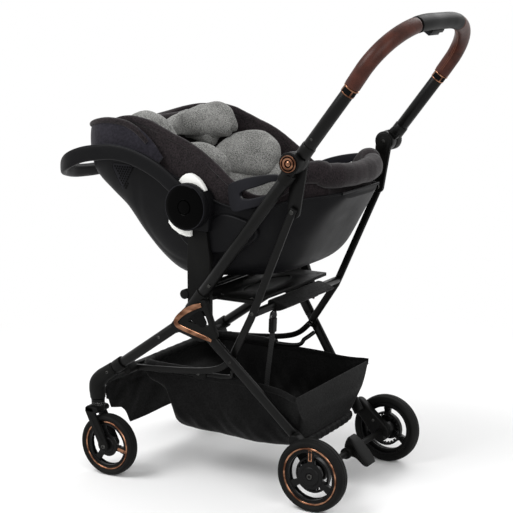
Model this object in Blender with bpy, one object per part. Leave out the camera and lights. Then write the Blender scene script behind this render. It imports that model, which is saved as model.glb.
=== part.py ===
"""Travel system stroller: folding frame, swivel front wheels, braked rear wheels, basket and infant car seat.

Metres, +Z up, front toward -X, left side (as pushed) toward -Y, middle of the length and width on the origin, floor at z = 0.
"""
import math

import bmesh
import bpy
from mathutils import Matrix, Vector

# Clearance left between pieces that touch or rest on one another
GAP = 0.0003

# Frame: the two side tubes run straight up from the leg joints to the push handle
SHELL_W = 0.189
SEAT_SIDE = 0.0275
TUBE_Y = SHELL_W + SEAT_SIDE
TUBE_D = 0.0258
HANDLE_D = 0.0275
TUBE_TILT = 52.4
HINGE_X, HINGE_Z = -0.0266, 0.738
HINGE_R = 0.0227
KNUCKLE_W = 0.023
SOCKET_FROM, SOCKET_TO = 0.0245, 0.048
PLATE_T = 0.005
STRUT_W, STRUT_T = 0.017, 0.008
CROSS_Y = TUBE_Y - 0.0225

# Push handle
GRIP_D = 0.033
CORE_D = 0.0250
HANDLE_REACH = 0.151
COLLAR = 0.0165
HANDLE_TILT = 55.0
HANDLE_STEPS = 28

# Leg joint and legs
JOINT_T = 0.012
FRONT_LEG_D = 0.023
REAR_LEG_W, REAR_LEG_T = 0.0235, 0.0137
PIVOT_X, PIVOT_Z = -0.2435, 0.3600
PIN_R = 0.005

# Wheels
REAR_R, REAR_W, REAR_HUB_Y = 0.0782, 0.033, TUBE_Y - 0.0351
FRONT_R, FRONT_W, FRONT_X = 0.0701, 0.030, -0.497
SWIVEL_X, SWIVEL_Z = -0.526, 0.173
ARM_T = 0.007

# Car seat
SHELL_T = 0.004
COVER_T = 0.011
COVER_SLACK = 0.003
PAD_T = 0.024
HUB_X, HUB_Z, HUB_R, HUB_T = -0.280, 0.628, 0.050, 0.0225
PEG_TOP, PEG_FREE = 0.5975, 0.0028
CARRY_REACH = 0.391
CARRY_BAND, CARRY_T = 0.034, 0.012
BUTTON_R = 0.015

MATERIALS = {
    "frame_black": ((0.02, 0.02, 0.021, 1), 0.3, 0.45),
    "copper_trim": ((0.62, 0.33, 0.22, 1), 1.0, 0.3),
    "leatherette": ((0.07, 0.025, 0.018, 1), 0.0, 0.6),
    "plastic_black": ((0.018, 0.018, 0.019, 1), 0.0, 0.5),
    "plastic_grey": ((0.06, 0.06, 0.065, 1), 0.0, 0.55),
    "steel": ((0.6, 0.6, 0.6, 1), 1.0, 0.3),
    "rubber": ((0.03, 0.03, 0.03, 1), 0.0, 0.85),
    "fabric_charcoal": ((0.05, 0.045, 0.048, 1), 0.0, 0.9),
    "fabric_melange": ((0.25, 0.25, 0.25, 1), 0.0, 0.9),
    "fabric_slate": ((0.04, 0.04, 0.05, 1), 0.0, 0.9),
    "webbing": ((0.12, 0.12, 0.12, 1), 0.0, 0.85),
    "button_red": ((0.45, 0.03, 0.03, 1), 0.0, 0.5),
}


def material(name, node):
    """Return a Principled material for one node, named after its slot."""
    base, metallic, roughness = MATERIALS[name]
    mat = bpy.data.materials.new(f"{name}_{node}")
    mat.use_nodes = True
    shader = mat.node_tree.nodes["Principled BSDF"]
    shader.inputs["Base Color"].default_value = base
    shader.inputs["Metallic"].default_value = metallic
    shader.inputs["Roughness"].default_value = roughness
    return mat


def solid(verts, faces):
    """Return a closed mesh object from vertices and faces, with outward faces."""
    mesh = bpy.data.meshes.new("solid")
    mesh.from_pydata([tuple(v) for v in verts], [], faces)
    bm = bmesh.new()
    bm.from_mesh(mesh)
    bmesh.ops.remove_doubles(bm, verts=bm.verts, dist=1e-6)
    bmesh.ops.recalc_face_normals(bm, faces=bm.faces)
    bm.to_mesh(mesh)
    bm.free()
    obj = bpy.data.objects.new("solid", mesh)
    bpy.context.scene.collection.objects.link(obj)
    return obj


def combine(first, others, operation="UNION"):
    """Join or cut the first object by the others and keep the result as plain mesh."""
    for other in others:
        step = first.modifiers.new("step", "BOOLEAN")
        step.operation, step.object, step.solver = operation, other, "EXACT"
        other.hide_render, other.display_type = True, "WIRE"
    graph = bpy.context.evaluated_depsgraph_get()
    mesh = bpy.data.meshes.new_from_object(first.evaluated_get(graph))
    first.modifiers.clear()
    first.data = mesh
    for other in others:
        bpy.data.objects.remove(other)
    bm = bmesh.new()
    bm.from_mesh(mesh)
    bmesh.ops.remove_doubles(bm, verts=bm.verts, dist=2e-5)
    bmesh.ops.dissolve_degenerate(bm, edges=bm.edges, dist=1e-5)
    bmesh.ops.triangulate(bm, faces=[f for f in bm.faces if len(f.verts) > 4])
    bmesh.ops.recalc_face_normals(bm, faces=bm.faces)
    bm.to_mesh(mesh)
    bm.free()
    return first


def node(name, obj, slot, pivot=(0, 0, 0)):
    """Name a finished piece, give it its material and put its origin on its pivot."""
    obj.name = obj.data.name = name
    obj.data.materials.clear()
    obj.data.materials.append(material(slot, name))
    obj.data.transform(Matrix.Translation(-Vector(pivot)))
    obj.location = pivot
    return obj


def prism(outline, y0, y1):
    """Extrude an outline of (x, z) points between two y values."""
    count = len(outline)
    verts = [(x, y0, z) for x, z in outline] + [(x, y1, z) for x, z in outline]
    faces = [tuple(range(count)), tuple(range(2 * count - 1, count - 1, -1))]
    faces += [(i, (i + 1) % count, (i + 1) % count + count, i + count) for i in range(count)]
    obj = solid(verts, faces)
    bm = bmesh.new()
    bm.from_mesh(obj.data)
    bmesh.ops.triangulate(bm, faces=[f for f in bm.faces if len(f.verts) > 4])
    bm.to_mesh(obj.data)
    bm.free()
    return obj


def block(x0, x1, y0, y1, z0, z1):
    """Return a box."""
    return prism([(x0, z0), (x1, z0), (x1, z1), (x0, z1)], y0, y1)


def round_corners(outline, radius, steps=3):
    """Round the corners of an outline; each radius is limited by its two sides."""
    result, count = [], len(outline)
    for i, corner in enumerate(outline):
        here = Vector(corner)
        before, after = Vector(outline[i - 1]) - here, Vector(outline[(i + 1) % count]) - here
        half = before.angle(after) / 2
        cut = min(radius / math.tan(half), 0.45 * before.length, 0.45 * after.length)
        start, end = here + before.normalized() * cut, here + after.normalized() * cut
        for k in range(steps + 1):
            t = k / steps
            point = start * (1 - t) ** 2 + here * 2 * t * (1 - t) + end * t ** 2
            result.append((point.x, point.y))
    return result


def ring_points(x, z, radius, segments, start=0.0):
    """Points of a circle in the x-z plane."""
    angles = [start + 2 * math.pi * k / segments for k in range(segments)]
    return [(x + radius * math.cos(a), z + radius * math.sin(a)) for a in angles]


def disc(x, z, radius, y0, y1, segments=24):
    """Cylinder along Y."""
    return prism(ring_points(x, z, radius, segments), y0, y1)


def capsule(start, end, r0, r1, steps=8):
    """Outline round two circles, for a link or a lug."""
    a, b = Vector(start), Vector(end)
    angle = math.atan2(b.y - a.y, b.x - a.x)
    lean = math.acos((r0 - r1) / (b - a).length)
    first = [angle + lean + (2 * math.pi - 2 * lean) * k / steps for k in range(steps + 1)]
    second = [angle - lean + 2 * lean * k / steps for k in range(steps + 1)]
    outline = [(a.x + r0 * math.cos(t), a.y + r0 * math.sin(t)) for t in first]
    return outline + [(b.x + r1 * math.cos(t), b.y + r1 * math.sin(t)) for t in second]


def band(points, width):
    """Outline of a strip of even width along (x, z) points."""
    path = [Vector(p) for p in points]
    left, right = [], []
    for i, here in enumerate(path):
        run = path[min(i + 1, len(path) - 1)] - path[max(i - 1, 0)]
        side = Vector((-run.y, run.x)).normalized() * width / 2
        left.append(tuple(here + side))
        right.append(tuple(here - side))
    return left + right[::-1]


def sweep(path, wide, thin, up=(0, 1, 0), segments=12, power=2.0):
    """Sweep an oval along a path; wide lies along the up direction, thin across it."""
    points = [Vector(p) for p in path]
    count = len(points)
    wide = wide if isinstance(wide, (list, tuple)) else [wide] * count
    thin = thin if isinstance(thin, (list, tuple)) else [thin] * count
    verts, faces = [], []
    for i, here in enumerate(points):
        tangent = (points[min(i + 1, count - 1)] - points[max(i - 1, 0)]).normalized()
        rise = Vector(up) - tangent * tangent.dot(Vector(up))
        rise.normalize()
        side = tangent.cross(rise)
        for k in range(segments):
            a = 2 * math.pi * (k + 0.5) / segments
            c, s = math.cos(a), math.sin(a)
            u = math.copysign(abs(c) ** (2 / power), c) * wide[i] / 2
            v = math.copysign(abs(s) ** (2 / power), s) * thin[i] / 2
            verts.append(here + rise * u + side * v)
    for i in range(count - 1):
        for k in range(segments):
            n = (k + 1) % segments
            faces.append((i * segments + k, i * segments + n, (i + 1) * segments + n, (i + 1) * segments + k))
    faces.append(tuple(range(segments)))
    faces.append(tuple(range(count * segments - 1, (count - 1) * segments - 1, -1)))
    return solid(verts, faces)


def rod(start, end, diameter, segments=16):
    """Round bar between two points."""
    run = Vector(end) - Vector(start)
    up = (1, 0, 0) if abs(run.normalized().y) > 0.7 else (0, 1, 0)
    return sweep([start, end], diameter, diameter, up, segments)


def turned(profile, x, z, side, segments=32):
    """Turn a closed (radius, y) profile about an axis along Y; y counts outward on the given side."""
    verts, faces, rows = [], [], len(profile)
    for k in range(segments):
        a = 2 * math.pi * k / segments
        verts += [(x + r * math.cos(a), side * y, z + r * math.sin(a)) for r, y in profile]
    for k in range(segments):
        n = (k + 1) % segments
        for i in range(rows):
            j = (i + 1) % rows
            faces.append((k * rows + i, n * rows + i, n * rows + j, k * rows + j))
    return solid(verts, faces)


def span(side, inner, outer):
    """Two y values on one side, from distances to the middle plane."""
    return sorted((side * inner, side * outer))


def along(start, angle, distance):
    """Point (x, z) at a distance from another in a direction given in degrees."""
    a = math.radians(angle)
    return start[0] + distance * math.cos(a), start[1] + distance * math.sin(a)


def tube_point(z):
    """Point (x, z) on the centre line of the side tubes."""
    hinge = along((HINGE_X, HINGE_Z), TUBE_TILT - 90, 0.005)
    return hinge[0] + (z - hinge[1]) / math.tan(math.radians(TUBE_TILT)), z


SIDES = {"left": -1, "right": 1}
HINGE = (HINGE_X, HINGE_Z)
ON_TUBE = along(HINGE, TUBE_TILT - 90, 0.005)
BRACKET_PIN = (-0.0393, 0.6344)
STRUT_END = (-0.1965, 0.3040)
PIVOT = (PIVOT_X, PIVOT_Z)
JOINT_Y = TUBE_Y + GAP
LEG_Y = JOINT_Y - GAP * 2 - REAR_LEG_T / 2
PLATE_Y = TUBE_Y - KNUCKLE_W + PLATE_T / 2
STRUT_Y = PLATE_Y + PLATE_T / 2 + GAP + STRUT_T / 2
FRONT_LEG = [(-0.3167, 0.3632), (-0.4757, 0.2515)]
HUB_IN = 0.0215
AXLE = (0.0, REAR_R)


def side_tubes(side):
    """Lower side tube, the fold hinge's fixed half and the leg joint of one side."""
    out = TUBE_Y + TUBE_D / 2
    # The fixed half of the hinge lies outside the middle of the tube and carries the pin
    y0, y1 = span(side, JOINT_Y, TUBE_Y + 0.025)
    housing = disc(*HINGE, HINGE_R, y0, y1, 28)
    foot = along(ON_TUBE, TUBE_TILT + 180, SOCKET_TO)
    bridge = prism(band([HINGE, along(ON_TUBE, TUBE_TILT + 180, SOCKET_FROM + 0.008)], TUBE_D), y0,
                   side * (out - 0.001)) if side > 0 else prism(
        band([HINGE, along(ON_TUBE, TUBE_TILT + 180, SOCKET_FROM + 0.008)], TUBE_D), -out + 0.001, y1)
    head = along(ON_TUBE, TUBE_TILT + 180, SOCKET_FROM)
    sleeve = rod((head[0], side * TUBE_Y, head[1]), (foot[0], side * TUBE_Y, foot[1]), TUBE_D + 0.005)
    pin = disc(*HINGE, 0.006, *span(side, TUBE_Y - KNUCKLE_W - 0.001, TUBE_Y + 0.01), 16)
    cap = disc(*HINGE, 0.0095, *span(side, TUBE_Y - KNUCKLE_W - GAP - 0.0025, TUBE_Y - KNUCKLE_W - GAP), 16)
    rim = disc(*HINGE, HINGE_R - 0.0045, *span(side, TUBE_Y + 0.02, TUBE_Y + 0.028), 28)
    housing = combine(housing, [bridge, sleeve, pin, cap, rim])
    top = along(foot, TUBE_TILT + 180, GAP)
    bottom = tube_point(0.4470)
    tube = rod((bottom[0], side * TUBE_Y, bottom[1]), (top[0], side * TUBE_Y, top[1]), TUBE_D, 20)
    return tube, housing


def leg_joint(side):
    """Casting that joins a side tube, a front leg and the rear leg's pivot."""
    outline = [(-0.233, 0.436), (-0.2765, 0.420), (-0.2995, 0.398), (-0.3160, 0.377), (-0.3205, 0.3700),
               (-0.3085, 0.3530), (-0.298, 0.3575), (-0.245, 0.3430), (-0.204, 0.3560)]
    y0, y1 = span(side, JOINT_Y, JOINT_Y + JOINT_T)
    body = prism(round_corners(outline, 0.006), y0, y1)
    window = prism(round_corners([(-0.284, 0.383), (-0.237, 0.414), (-0.222, 0.378)], 0.006),
                   y0 - 0.01, y1 + 0.01)
    low, high = tube_point(0.4075), tube_point(0.4470 - GAP)
    socket = rod((low[0], side * TUBE_Y, low[1]), (high[0], side * TUBE_Y, high[1]), TUBE_D + 0.004)
    start = (FRONT_LEG[0][0] + 0.0002, side * TUBE_Y, FRONT_LEG[0][1] + 0.0002)
    root = (start[0] + 0.0170, start[1], start[2] + 0.0117)
    neck = rod(root, start, FRONT_LEG_D + 0.001)
    pin = disc(*PIVOT, PIN_R, *span(side, LEG_Y - REAR_LEG_T / 2, JOINT_Y + 0.002), 14)
    body = combine(body, [window], "DIFFERENCE")
    return combine(body, [socket, neck, pin])


def front_leg(side):
    """Front leg tube from the leg joint to the elbow."""
    (x0, z0), (x1, z1) = FRONT_LEG
    return rod((x0, side * TUBE_Y, z0), (x1, side * TUBE_Y, z1), FRONT_LEG_D, 16)


def elbow(side):
    """Casting at the foot of a front leg with the bore for the swivel stem."""
    outline = [(-0.4842, 0.2632), (-0.535, 0.229), (-0.5545, 0.202), (-0.5550, SWIVEL_Z),
               (-0.5080, SWIVEL_Z), (-0.5060, 0.2080), (-0.4680, 0.2405)]
    y0, y1 = span(side, TUBE_Y - 0.0125, TUBE_Y + 0.0125)
    body = prism(round_corners(outline, 0.004), y0, y1)
    stem = sweep([(SWIVEL_X, side * TUBE_Y, SWIVEL_Z - 0.01), (SWIVEL_X, side * TUBE_Y, SWIVEL_Z + 0.026)],
                 2 * PIN_R + 2 * GAP, 2 * PIN_R + 2 * GAP)
    return combine(body, [stem], "DIFFERENCE")


def front_bar():
    """Cross bar between the elbows and the shield that hangs from it."""
    inner = TUBE_Y - 0.0125 - GAP
    bar = rod((-0.4835, -inner, 0.2360), (-0.4835, inner, 0.2360), 0.0138)
    line = [(-0.4830, 0.2284, 0.199), (-0.4700, 0.2040, 0.196), (-0.4560, 0.1680, 0.184), (-0.4400, 0.1360, 0.158),
            (-0.4360, 0.1180, 0.148)]
    verts, faces = [], []
    for x, z, half in line:
        verts += [(x - 0.002, -half, z), (x + 0.002, -half, z), (x + 0.002, half, z), (x - 0.002, half, z)]
    for i in range(len(line) - 1):
        faces += [(4 * i + k, 4 * i + (k + 1) % 4, 4 * i + 4 + (k + 1) % 4, 4 * i + 4 + k) for k in range(4)]
    last = 4 * len(line)
    apron = solid(verts, faces + [(0, 1, 2, 3), (last - 1, last - 2, last - 3, last - 4)])
    return bar, apron


def adaptor_post(side):
    """Post beside the leg joint whose peg holds the car seat, with a boss for the seat's front tube."""
    inner = TUBE_Y - TUBE_D / 2 - 0.002 - GAP
    y0, y1 = span(side, inner - 0.012, inner)
    outline = [(-0.294, 0.392), (-0.238, 0.392), (-0.238, 0.520), (-0.246, 0.5750), (-0.290, 0.5750), (-0.294, 0.520)]
    body = prism(round_corners(outline, 0.004), y0, y1)
    boss = disc(-0.301, 0.4346, 0.0105, *span(side, inner - 0.012, inner + 0.003), 16)
    peg = block(-0.284, -0.256, *span(side, inner - 0.0100, inner - 0.0020), 0.570, PEG_TOP)
    return combine(body, [boss, peg])


def seat_support():
    """Front tube between the posts and the platform behind it."""
    inner = TUBE_Y - TUBE_D / 2 - 0.002 - GAP - 0.012 - GAP
    tube = rod((-0.301, -inner, 0.4346), (-0.301, inner, 0.4346), 0.016)
    half = [(-0.2925, 0.0), (-0.2925, inner), (-0.2480, inner), (-0.2440, 0.165), (-0.1520, 0.165), (-0.1490, 0.0)]
    outline = half + [(x, -y) for x, y in half[-2:0:-1]]
    top, low = 0.4305, 0.4225
    count = len(outline)
    verts = [(x, y, low) for x, y in outline] + [(x, y, top) for x, y in outline]
    faces = [tuple(range(count)), tuple(range(2 * count - 1, count - 1, -1))]
    faces += [(i, (i + 1) % count, (i + 1) % count + count, i + count) for i in range(count)]
    platform = solid(verts, faces)
    recess = sweep([(-0.213, 0.0, top - 0.003), (-0.213, 0.0, top + 0.01)], 0.190, 0.058, (0, 1, 0), 24)
    return tube, combine(platform, [recess], "DIFFERENCE")


def build_chassis():
    """Pieces fixed to the side tubes."""
    for name, side in SIDES.items():
        tube, housing = side_tubes(side)
        node(f"main_tube_{name}", tube, "frame_black")
        node(f"hinge_housing_{name}", housing, "plastic_black")
        node(f"leg_joint_{name}", leg_joint(side), "plastic_black")
        node(f"front_leg_{name}", front_leg(side), "frame_black")
        node(f"front_elbow_{name}", elbow(side), "plastic_black")
        node(f"adaptor_post_{name}", adaptor_post(side), "plastic_black")
    bar, apron = front_bar()
    node("front_cross_bar", bar, "frame_black")
    node("front_apron", apron, "fabric_charcoal")
    tube, platform = seat_support()
    node("seat_front_tube", tube, "frame_black")
    node("seat_platform", platform, "plastic_black")


def handle_path(t):
    """Point of the push handle's centre line, t from 0 at the left collar to 1 at the right one."""
    width, reach, a, b = TUBE_Y + 0.0015, HANDLE_REACH, 0.18, 0.12
    u = (1 - abs(2 * t - 1)) * math.pi / 2
    y = (width - a) + a * math.cos(u) ** (2 / 2.2)
    s = (reach - b) + b * math.sin(u) ** (2 / 2.2)
    if u > math.pi / 2 - 1e-6:
        y, s = width - a, reach
    start = handle_start()
    x, z = along(start, HANDLE_TILT, s)
    return x, math.copysign(y, t - 0.5), z


def handle_start():
    """Point (x, z) where the tube passes into the grips."""
    return along(ON_TUBE, TUBE_TILT, 0.194)


def handle_points(first, last, trim):
    """Points of the handle's line between two steps, its ends drawn in by a trim."""
    points = [Vector(handle_path(k / HANDLE_STEPS)) for k in range(first, last + 1)]
    points[0] += (points[1] - points[0]).normalized() * trim
    points[-1] += (points[-2] - points[-1]).normalized() * trim
    return [tuple(point) for point in points]


def sleeve(path, outer, inner, up, segments=14):
    """Open-ended sleeve round a path, with a bore for the tube inside it."""
    body = sweep(path, outer, outer, up, segments)
    first, last = Vector(path[0]), Vector(path[-1])
    start = first + (first - Vector(path[1])).normalized() * 0.004
    end = last + (last - Vector(path[-2])).normalized() * 0.004
    core = sweep([start] + list(path) + [end], inner, inner, up, segments)
    return combine(body, [core], "DIFFERENCE")


def build_handle():
    """Push handle with its hinge knuckles and strut brackets, grips, release housing and trigger."""
    pivot = (*HINGE[:1], 0, HINGE[1])
    slope = (math.sin(math.radians(HANDLE_TILT)), 0, -math.cos(math.radians(HANDLE_TILT)))
    foot = along(ON_TUBE, TUBE_TILT, SOCKET_TO - 0.004)
    line = [(foot[0], -TUBE_Y, foot[1]), near_line(-1), core_point(-1, 0.0015)] + handle_points(0, HANDLE_STEPS, 0)[1:-1]
    line += [core_point(1, 0.0015), near_line(1), (foot[0], TUBE_Y, foot[1])]
    sizes = [HANDLE_D, HANDLE_D] + [CORE_D] * (len(line) - 4) + [HANDLE_D, HANDLE_D]
    extra = []
    for side in SIDES.values():
        low, high = along(ON_TUBE, TUBE_TILT, SOCKET_FROM), along(ON_TUBE, TUBE_TILT, SOCKET_TO)
        extra.append(rod((low[0], side * TUBE_Y, low[1]), (high[0], side * TUBE_Y, high[1]), HANDLE_D + 0.003))
        extra.append(prism(band([HINGE, along(ON_TUBE, TUBE_TILT, SOCKET_FROM + 0.008)], TUBE_D),
                           *span(side, TUBE_Y - HANDLE_D / 2 + 0.001, TUBE_Y)))
        extra.append(disc(*HINGE, HINGE_R - 0.001, *span(side, TUBE_Y - KNUCKLE_W, TUBE_Y), 28))
        # The bracket is a plate from the knuckle's inner face down to the strut's pin
        extra.append(prism(capsule(HINGE, BRACKET_PIN, 0.0155, 0.0120), *span(side, PLATE_Y - PLATE_T / 2,
                                                                           PLATE_Y + PLATE_T / 2)))
        extra.append(disc(*BRACKET_PIN, PIN_R, *span(side, PLATE_Y, STRUT_Y + STRUT_T / 2 - GAP), 14))
    bores = [disc(*HINGE, 0.006 + GAP, *span(side, TUBE_Y - 0.05, TUBE_Y + 0.05), 16) for side in SIDES.values()]
    handle = combine(combine(sweep(line, sizes, sizes, slope, 12), extra), bores, "DIFFERENCE")
    node("push_handle", handle, "frame_black", pivot)
    bore, last = CORE_D + 4 * GAP, HANDLE_STEPS
    left = sleeve([core_point(-1, COLLAR)] + handle_points(1, 11, 0.001), GRIP_D, bore, slope, 12)
    right = sleeve(handle_points(last - 11, last - 1, 0.001) + [core_point(1, COLLAR)], GRIP_D, bore, slope, 12)
    node("grip_left", left, "leatherette", pivot)
    node("grip_right", right, "leatherette", pivot)
    body = sleeve(handle_points(11, last - 11, 0.001), GRIP_D + 0.001, bore, slope, 12)
    middle = handle_path(0.5)
    seat = along((middle[0], middle[2]), HANDLE_TILT + 180, GRIP_D / 2 + 0.003)
    pocket = trigger_block(seat, 0.0245, 0.0045 + 0.003, 0.0110)
    frame = trigger_block(along(seat, HANDLE_TILT, 0.001), 0.0290, 0.0040, 0.0150)
    body = combine(combine(body, [frame]), [pocket], "DIFFERENCE")
    node("grip_housing", body, "plastic_black", pivot)
    trigger = trigger_block(along(seat, HANDLE_TILT + 180, 0.0045), 0.0242, 0.0065, 0.0106)
    node("fold_trigger", trigger, "plastic_grey", (seat[0], 0, seat[1]))


def near_line(side):
    """Point where the bare handle tube ends and its thinner core begins."""
    x, z = along(ON_TUBE, TUBE_TILT, 0.182)
    return x, side * TUBE_Y, z


def core_point(side, distance):
    """Point of the thinner core at a distance from the end of the bare tube."""
    start, end = Vector(near_line(side)), Vector(handle_path(0.5 + side * (0.5 - 1 / HANDLE_STEPS)))
    return tuple(start + (end - start).normalized() * distance)


def trigger_block(centre, half_y, half_s, half_n):
    """Block for the trigger, lying along the handle's slope."""
    a = math.radians(HANDLE_TILT)
    s, n = Vector((math.cos(a), math.sin(a))), Vector((-math.sin(a), math.cos(a)))
    middle = Vector(centre)
    outline = [middle + s * i * half_s + n * j * half_n * 0.7 for i, j in ((-1, -1), (1, -1), (1, 1), (-1, 1))]
    return prism([tuple(p) for p in outline], -half_y, half_y)


def build_struts():
    """Flat struts from the handle's brackets to the rear legs, with the tube and sling between them."""
    pivot = (BRACKET_PIN[0], 0, BRACKET_PIN[1])
    foot_y = strut_foot()
    cross = (-0.1368, 0.4101)
    for name, side in SIDES.items():
        bar = sweep([(*along(BRACKET_PIN, 64.5, 0.009)[:1], side * STRUT_Y, along(BRACKET_PIN, 64.5, 0.009)[1]),
                     (*along(BRACKET_PIN, 244.5, 0.012)[:1], side * STRUT_Y, along(BRACKET_PIN, 244.5, 0.012)[1]),
                     (cross[0] + 0.0045, side * (CROSS_Y + 0.0004), cross[1] + 0.0100),
                     (cross[0] - 0.0045, side * (CROSS_Y - 0.0004), cross[1] - 0.0100),
                     (STRUT_END[0] + 0.0060, side * foot_y, STRUT_END[1] + 0.0130),
                     (STRUT_END[0] - 0.0040, side * foot_y, STRUT_END[1] - 0.0085)],
                    STRUT_T, STRUT_W, (0, 1, 0), 12, 3.0)
        bore = disc(*BRACKET_PIN, PIN_R + GAP, *span(side, STRUT_Y - 0.02, STRUT_Y + 0.02), 14)
        node(f"strut_{name}", combine(bar, [bore], "DIFFERENCE"), "frame_black", pivot)
    end = CROSS_Y - STRUT_T / 2 - 0.0012
    node("seat_cross_tube", rod((cross[0], -end, cross[1]), (cross[0], end, cross[1]), 0.0170), "frame_black", pivot)
    outline = [(-0.1470, 0.4165), (-0.1440, 0.4300), (-0.1080, 0.4300), (-0.1010, 0.4220), (-0.1060, 0.4110),
               (-0.1240, 0.3990), (-0.1400, 0.3985), (-0.1470, 0.4060)]
    sling = prism(round_corners(outline, 0.004, 2), -0.168, 0.168)
    bore = disc(*cross, 0.0085 + GAP, -0.2, 0.2, 16)
    node("seat_sling", combine(sling, [bore], "DIFFERENCE"), "fabric_charcoal", pivot)
    loop = prism(band([(-0.1300, 0.3978), (-0.1320, 0.3720), (-0.1360, 0.3300), (-0.1440, 0.2700), (-0.1500, 0.2150)],
                      0.004), -0.128, -0.106)
    hook = block(-0.1385, -0.1285, -0.126, -0.108, 0.350, 0.3845)
    node("basket_strap", combine(loop, [hook]), "webbing", pivot)


def strut_foot():
    """Distance of the strut's foot from the middle plane, clear of the rear leg's inner face."""
    reach = math.dist(STRUT_END, PIVOT) + 0.014
    return leg_line(reach)[1] - REAR_LEG_T / 2 - GAP - STRUT_T / 2


def leg_line(d):
    """Point of the rear leg's centre line at a distance from its pivot, as (x, distance from the middle, z)."""
    run = Vector((0.1641, -0.0602 * 1.045, -0.2000)).normalized()
    return PIVOT_X + run.x * d, LEG_Y + run.y * d, PIVOT_Z + run.z * d


def build_rear():
    """Rear legs with hub housings, axle, brake, basket and wheels."""
    pivot = (PIVOT_X, 0, PIVOT_Z)
    housings = []
    for name, side in SIDES.items():
        eye = disc(*PIVOT, 0.0125, *span(side, LEG_Y - REAR_LEG_T / 2, LEG_Y + REAR_LEG_T / 2), 20)
        path = [(x, side * y, z) for x, y, z in (leg_line(0.004), leg_line(0.05), leg_line(0.285))]
        bar = sweep(path, REAR_LEG_T - 0.0008, REAR_LEG_W, (0, 1, 0), 14)
        bore = disc(*PIVOT, PIN_R + GAP, *span(side, LEG_Y - 0.02, LEG_Y + 0.02), 14)
        trim = block(PIVOT_X - 0.03, PIVOT_X + 0.03, *span(side, LEG_Y + REAR_LEG_T / 2, LEG_Y + 0.02),
                     PIVOT_Z - 0.03, PIVOT_Z + 0.03)
        leg = combine(combine(eye, [bar]), [bore, trim], "DIFFERENCE")
        node(f"rear_leg_{name}", leg, "frame_black", pivot)
        end = leg_line(0.285 + GAP * 1.2)
        y0, y1 = span(side, REAR_HUB_Y - REAR_W / 2 - GAP - 0.001 - HUB_IN, REAR_HUB_Y - REAR_W / 2 - GAP - 0.001)
        body = prism(capsule(AXLE, (end[0] + 0.012, end[2] - 0.010), 0.0215, 0.0140), y0, y1)
        low = leg_line(0.285 + 0.032)
        sleeve = sweep([(end[0], side * end[1], end[2]), (low[0], side * low[1], low[2])],
                       REAR_LEG_T + 0.005, REAR_LEG_W + 0.003, (0, 1, 0), 14)
        stub = disc(*AXLE, PIN_R, *span(side, REAR_HUB_Y - REAR_W / 2 - 0.01, REAR_HUB_Y + REAR_W / 2 - 0.002), 14)
        housings.append(combine(body, [sleeve, stub]))
        build_wheel(f"rear_{{}}_{name}", AXLE, REAR_R, REAR_W, REAR_HUB_Y, side, 0.0)
    inner = REAR_HUB_Y - REAR_W / 2 - HUB_IN + 0.004
    bar = rod((0, -inner, REAR_R), (0, inner, REAR_R), 0.014)
    node("rear_axle", combine(bar, housings), "plastic_black", pivot)
    collar = disc(*AXLE, 0.0125, -0.030, 0.030, 20)
    pad = prism(round_corners([(-0.006, 0.088), (0.0, 0.111), (0.010, 0.108), (0.050, 0.062), (0.043, 0.054),
                               (0.012, 0.070)], 0.003, 2), -0.030, 0.030)
    bore = disc(*AXLE, 0.007 + GAP, -0.05, 0.05, 20)
    node("brake_pedal", combine(combine(collar, [pad]), [bore], "DIFFERENCE"), "plastic_black", (0, 0, REAR_R))
    build_basket(pivot)


def build_wheel(pattern, centre, radius, width, hub_y, side, spin):
    """Tyre and three-spoke rim of one wheel."""
    x, z = centre
    y0, y1 = hub_y - width / 2, hub_y + width / 2
    crown = radius * 0.8
    tyre = turned([(crown, y0 + 0.004), (radius * 0.92, y0), (radius, y0 + width * 0.35),
                   (radius, y1 - width * 0.35), (radius * 0.92, y1), (crown, y1 - 0.004)], x, z, side, 32)
    node(pattern.format("tyre"), tyre, "rubber", (x, side * hub_y, z))
    edge = crown - GAP
    ring = turned([(edge, y0 + 0.0045), (edge, y1 - 0.0045), (edge - 0.0045, y1 - 0.0045),
                   (edge - 0.0045, y0 + 0.0045)], x, z, side, 32)
    hub = disc(x, z, radius * 0.235, *span(side, y0 + 0.001, y1 - 0.0035), 20)
    spokes = []
    for k in range(3):
        a = spin + math.pi / 2 + 2 * math.pi * k / 3
        tip = (x + (edge - 0.003) * math.cos(a), z + (edge - 0.003) * math.sin(a))
        spokes.append(prism(band([(x, z), tip], radius * 0.19), *span(side, hub_y + 0.001, y1 - 0.0065)))
    bore = disc(x, z, PIN_R + GAP, *span(side, y0 - 0.01, y1 + 0.01), 12)
    rim = combine(combine(ring, [hub] + spokes), [bore], "DIFFERENCE")
    node(pattern.format("rim"), rim, "plastic_black", (x, side * hub_y, z))


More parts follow.
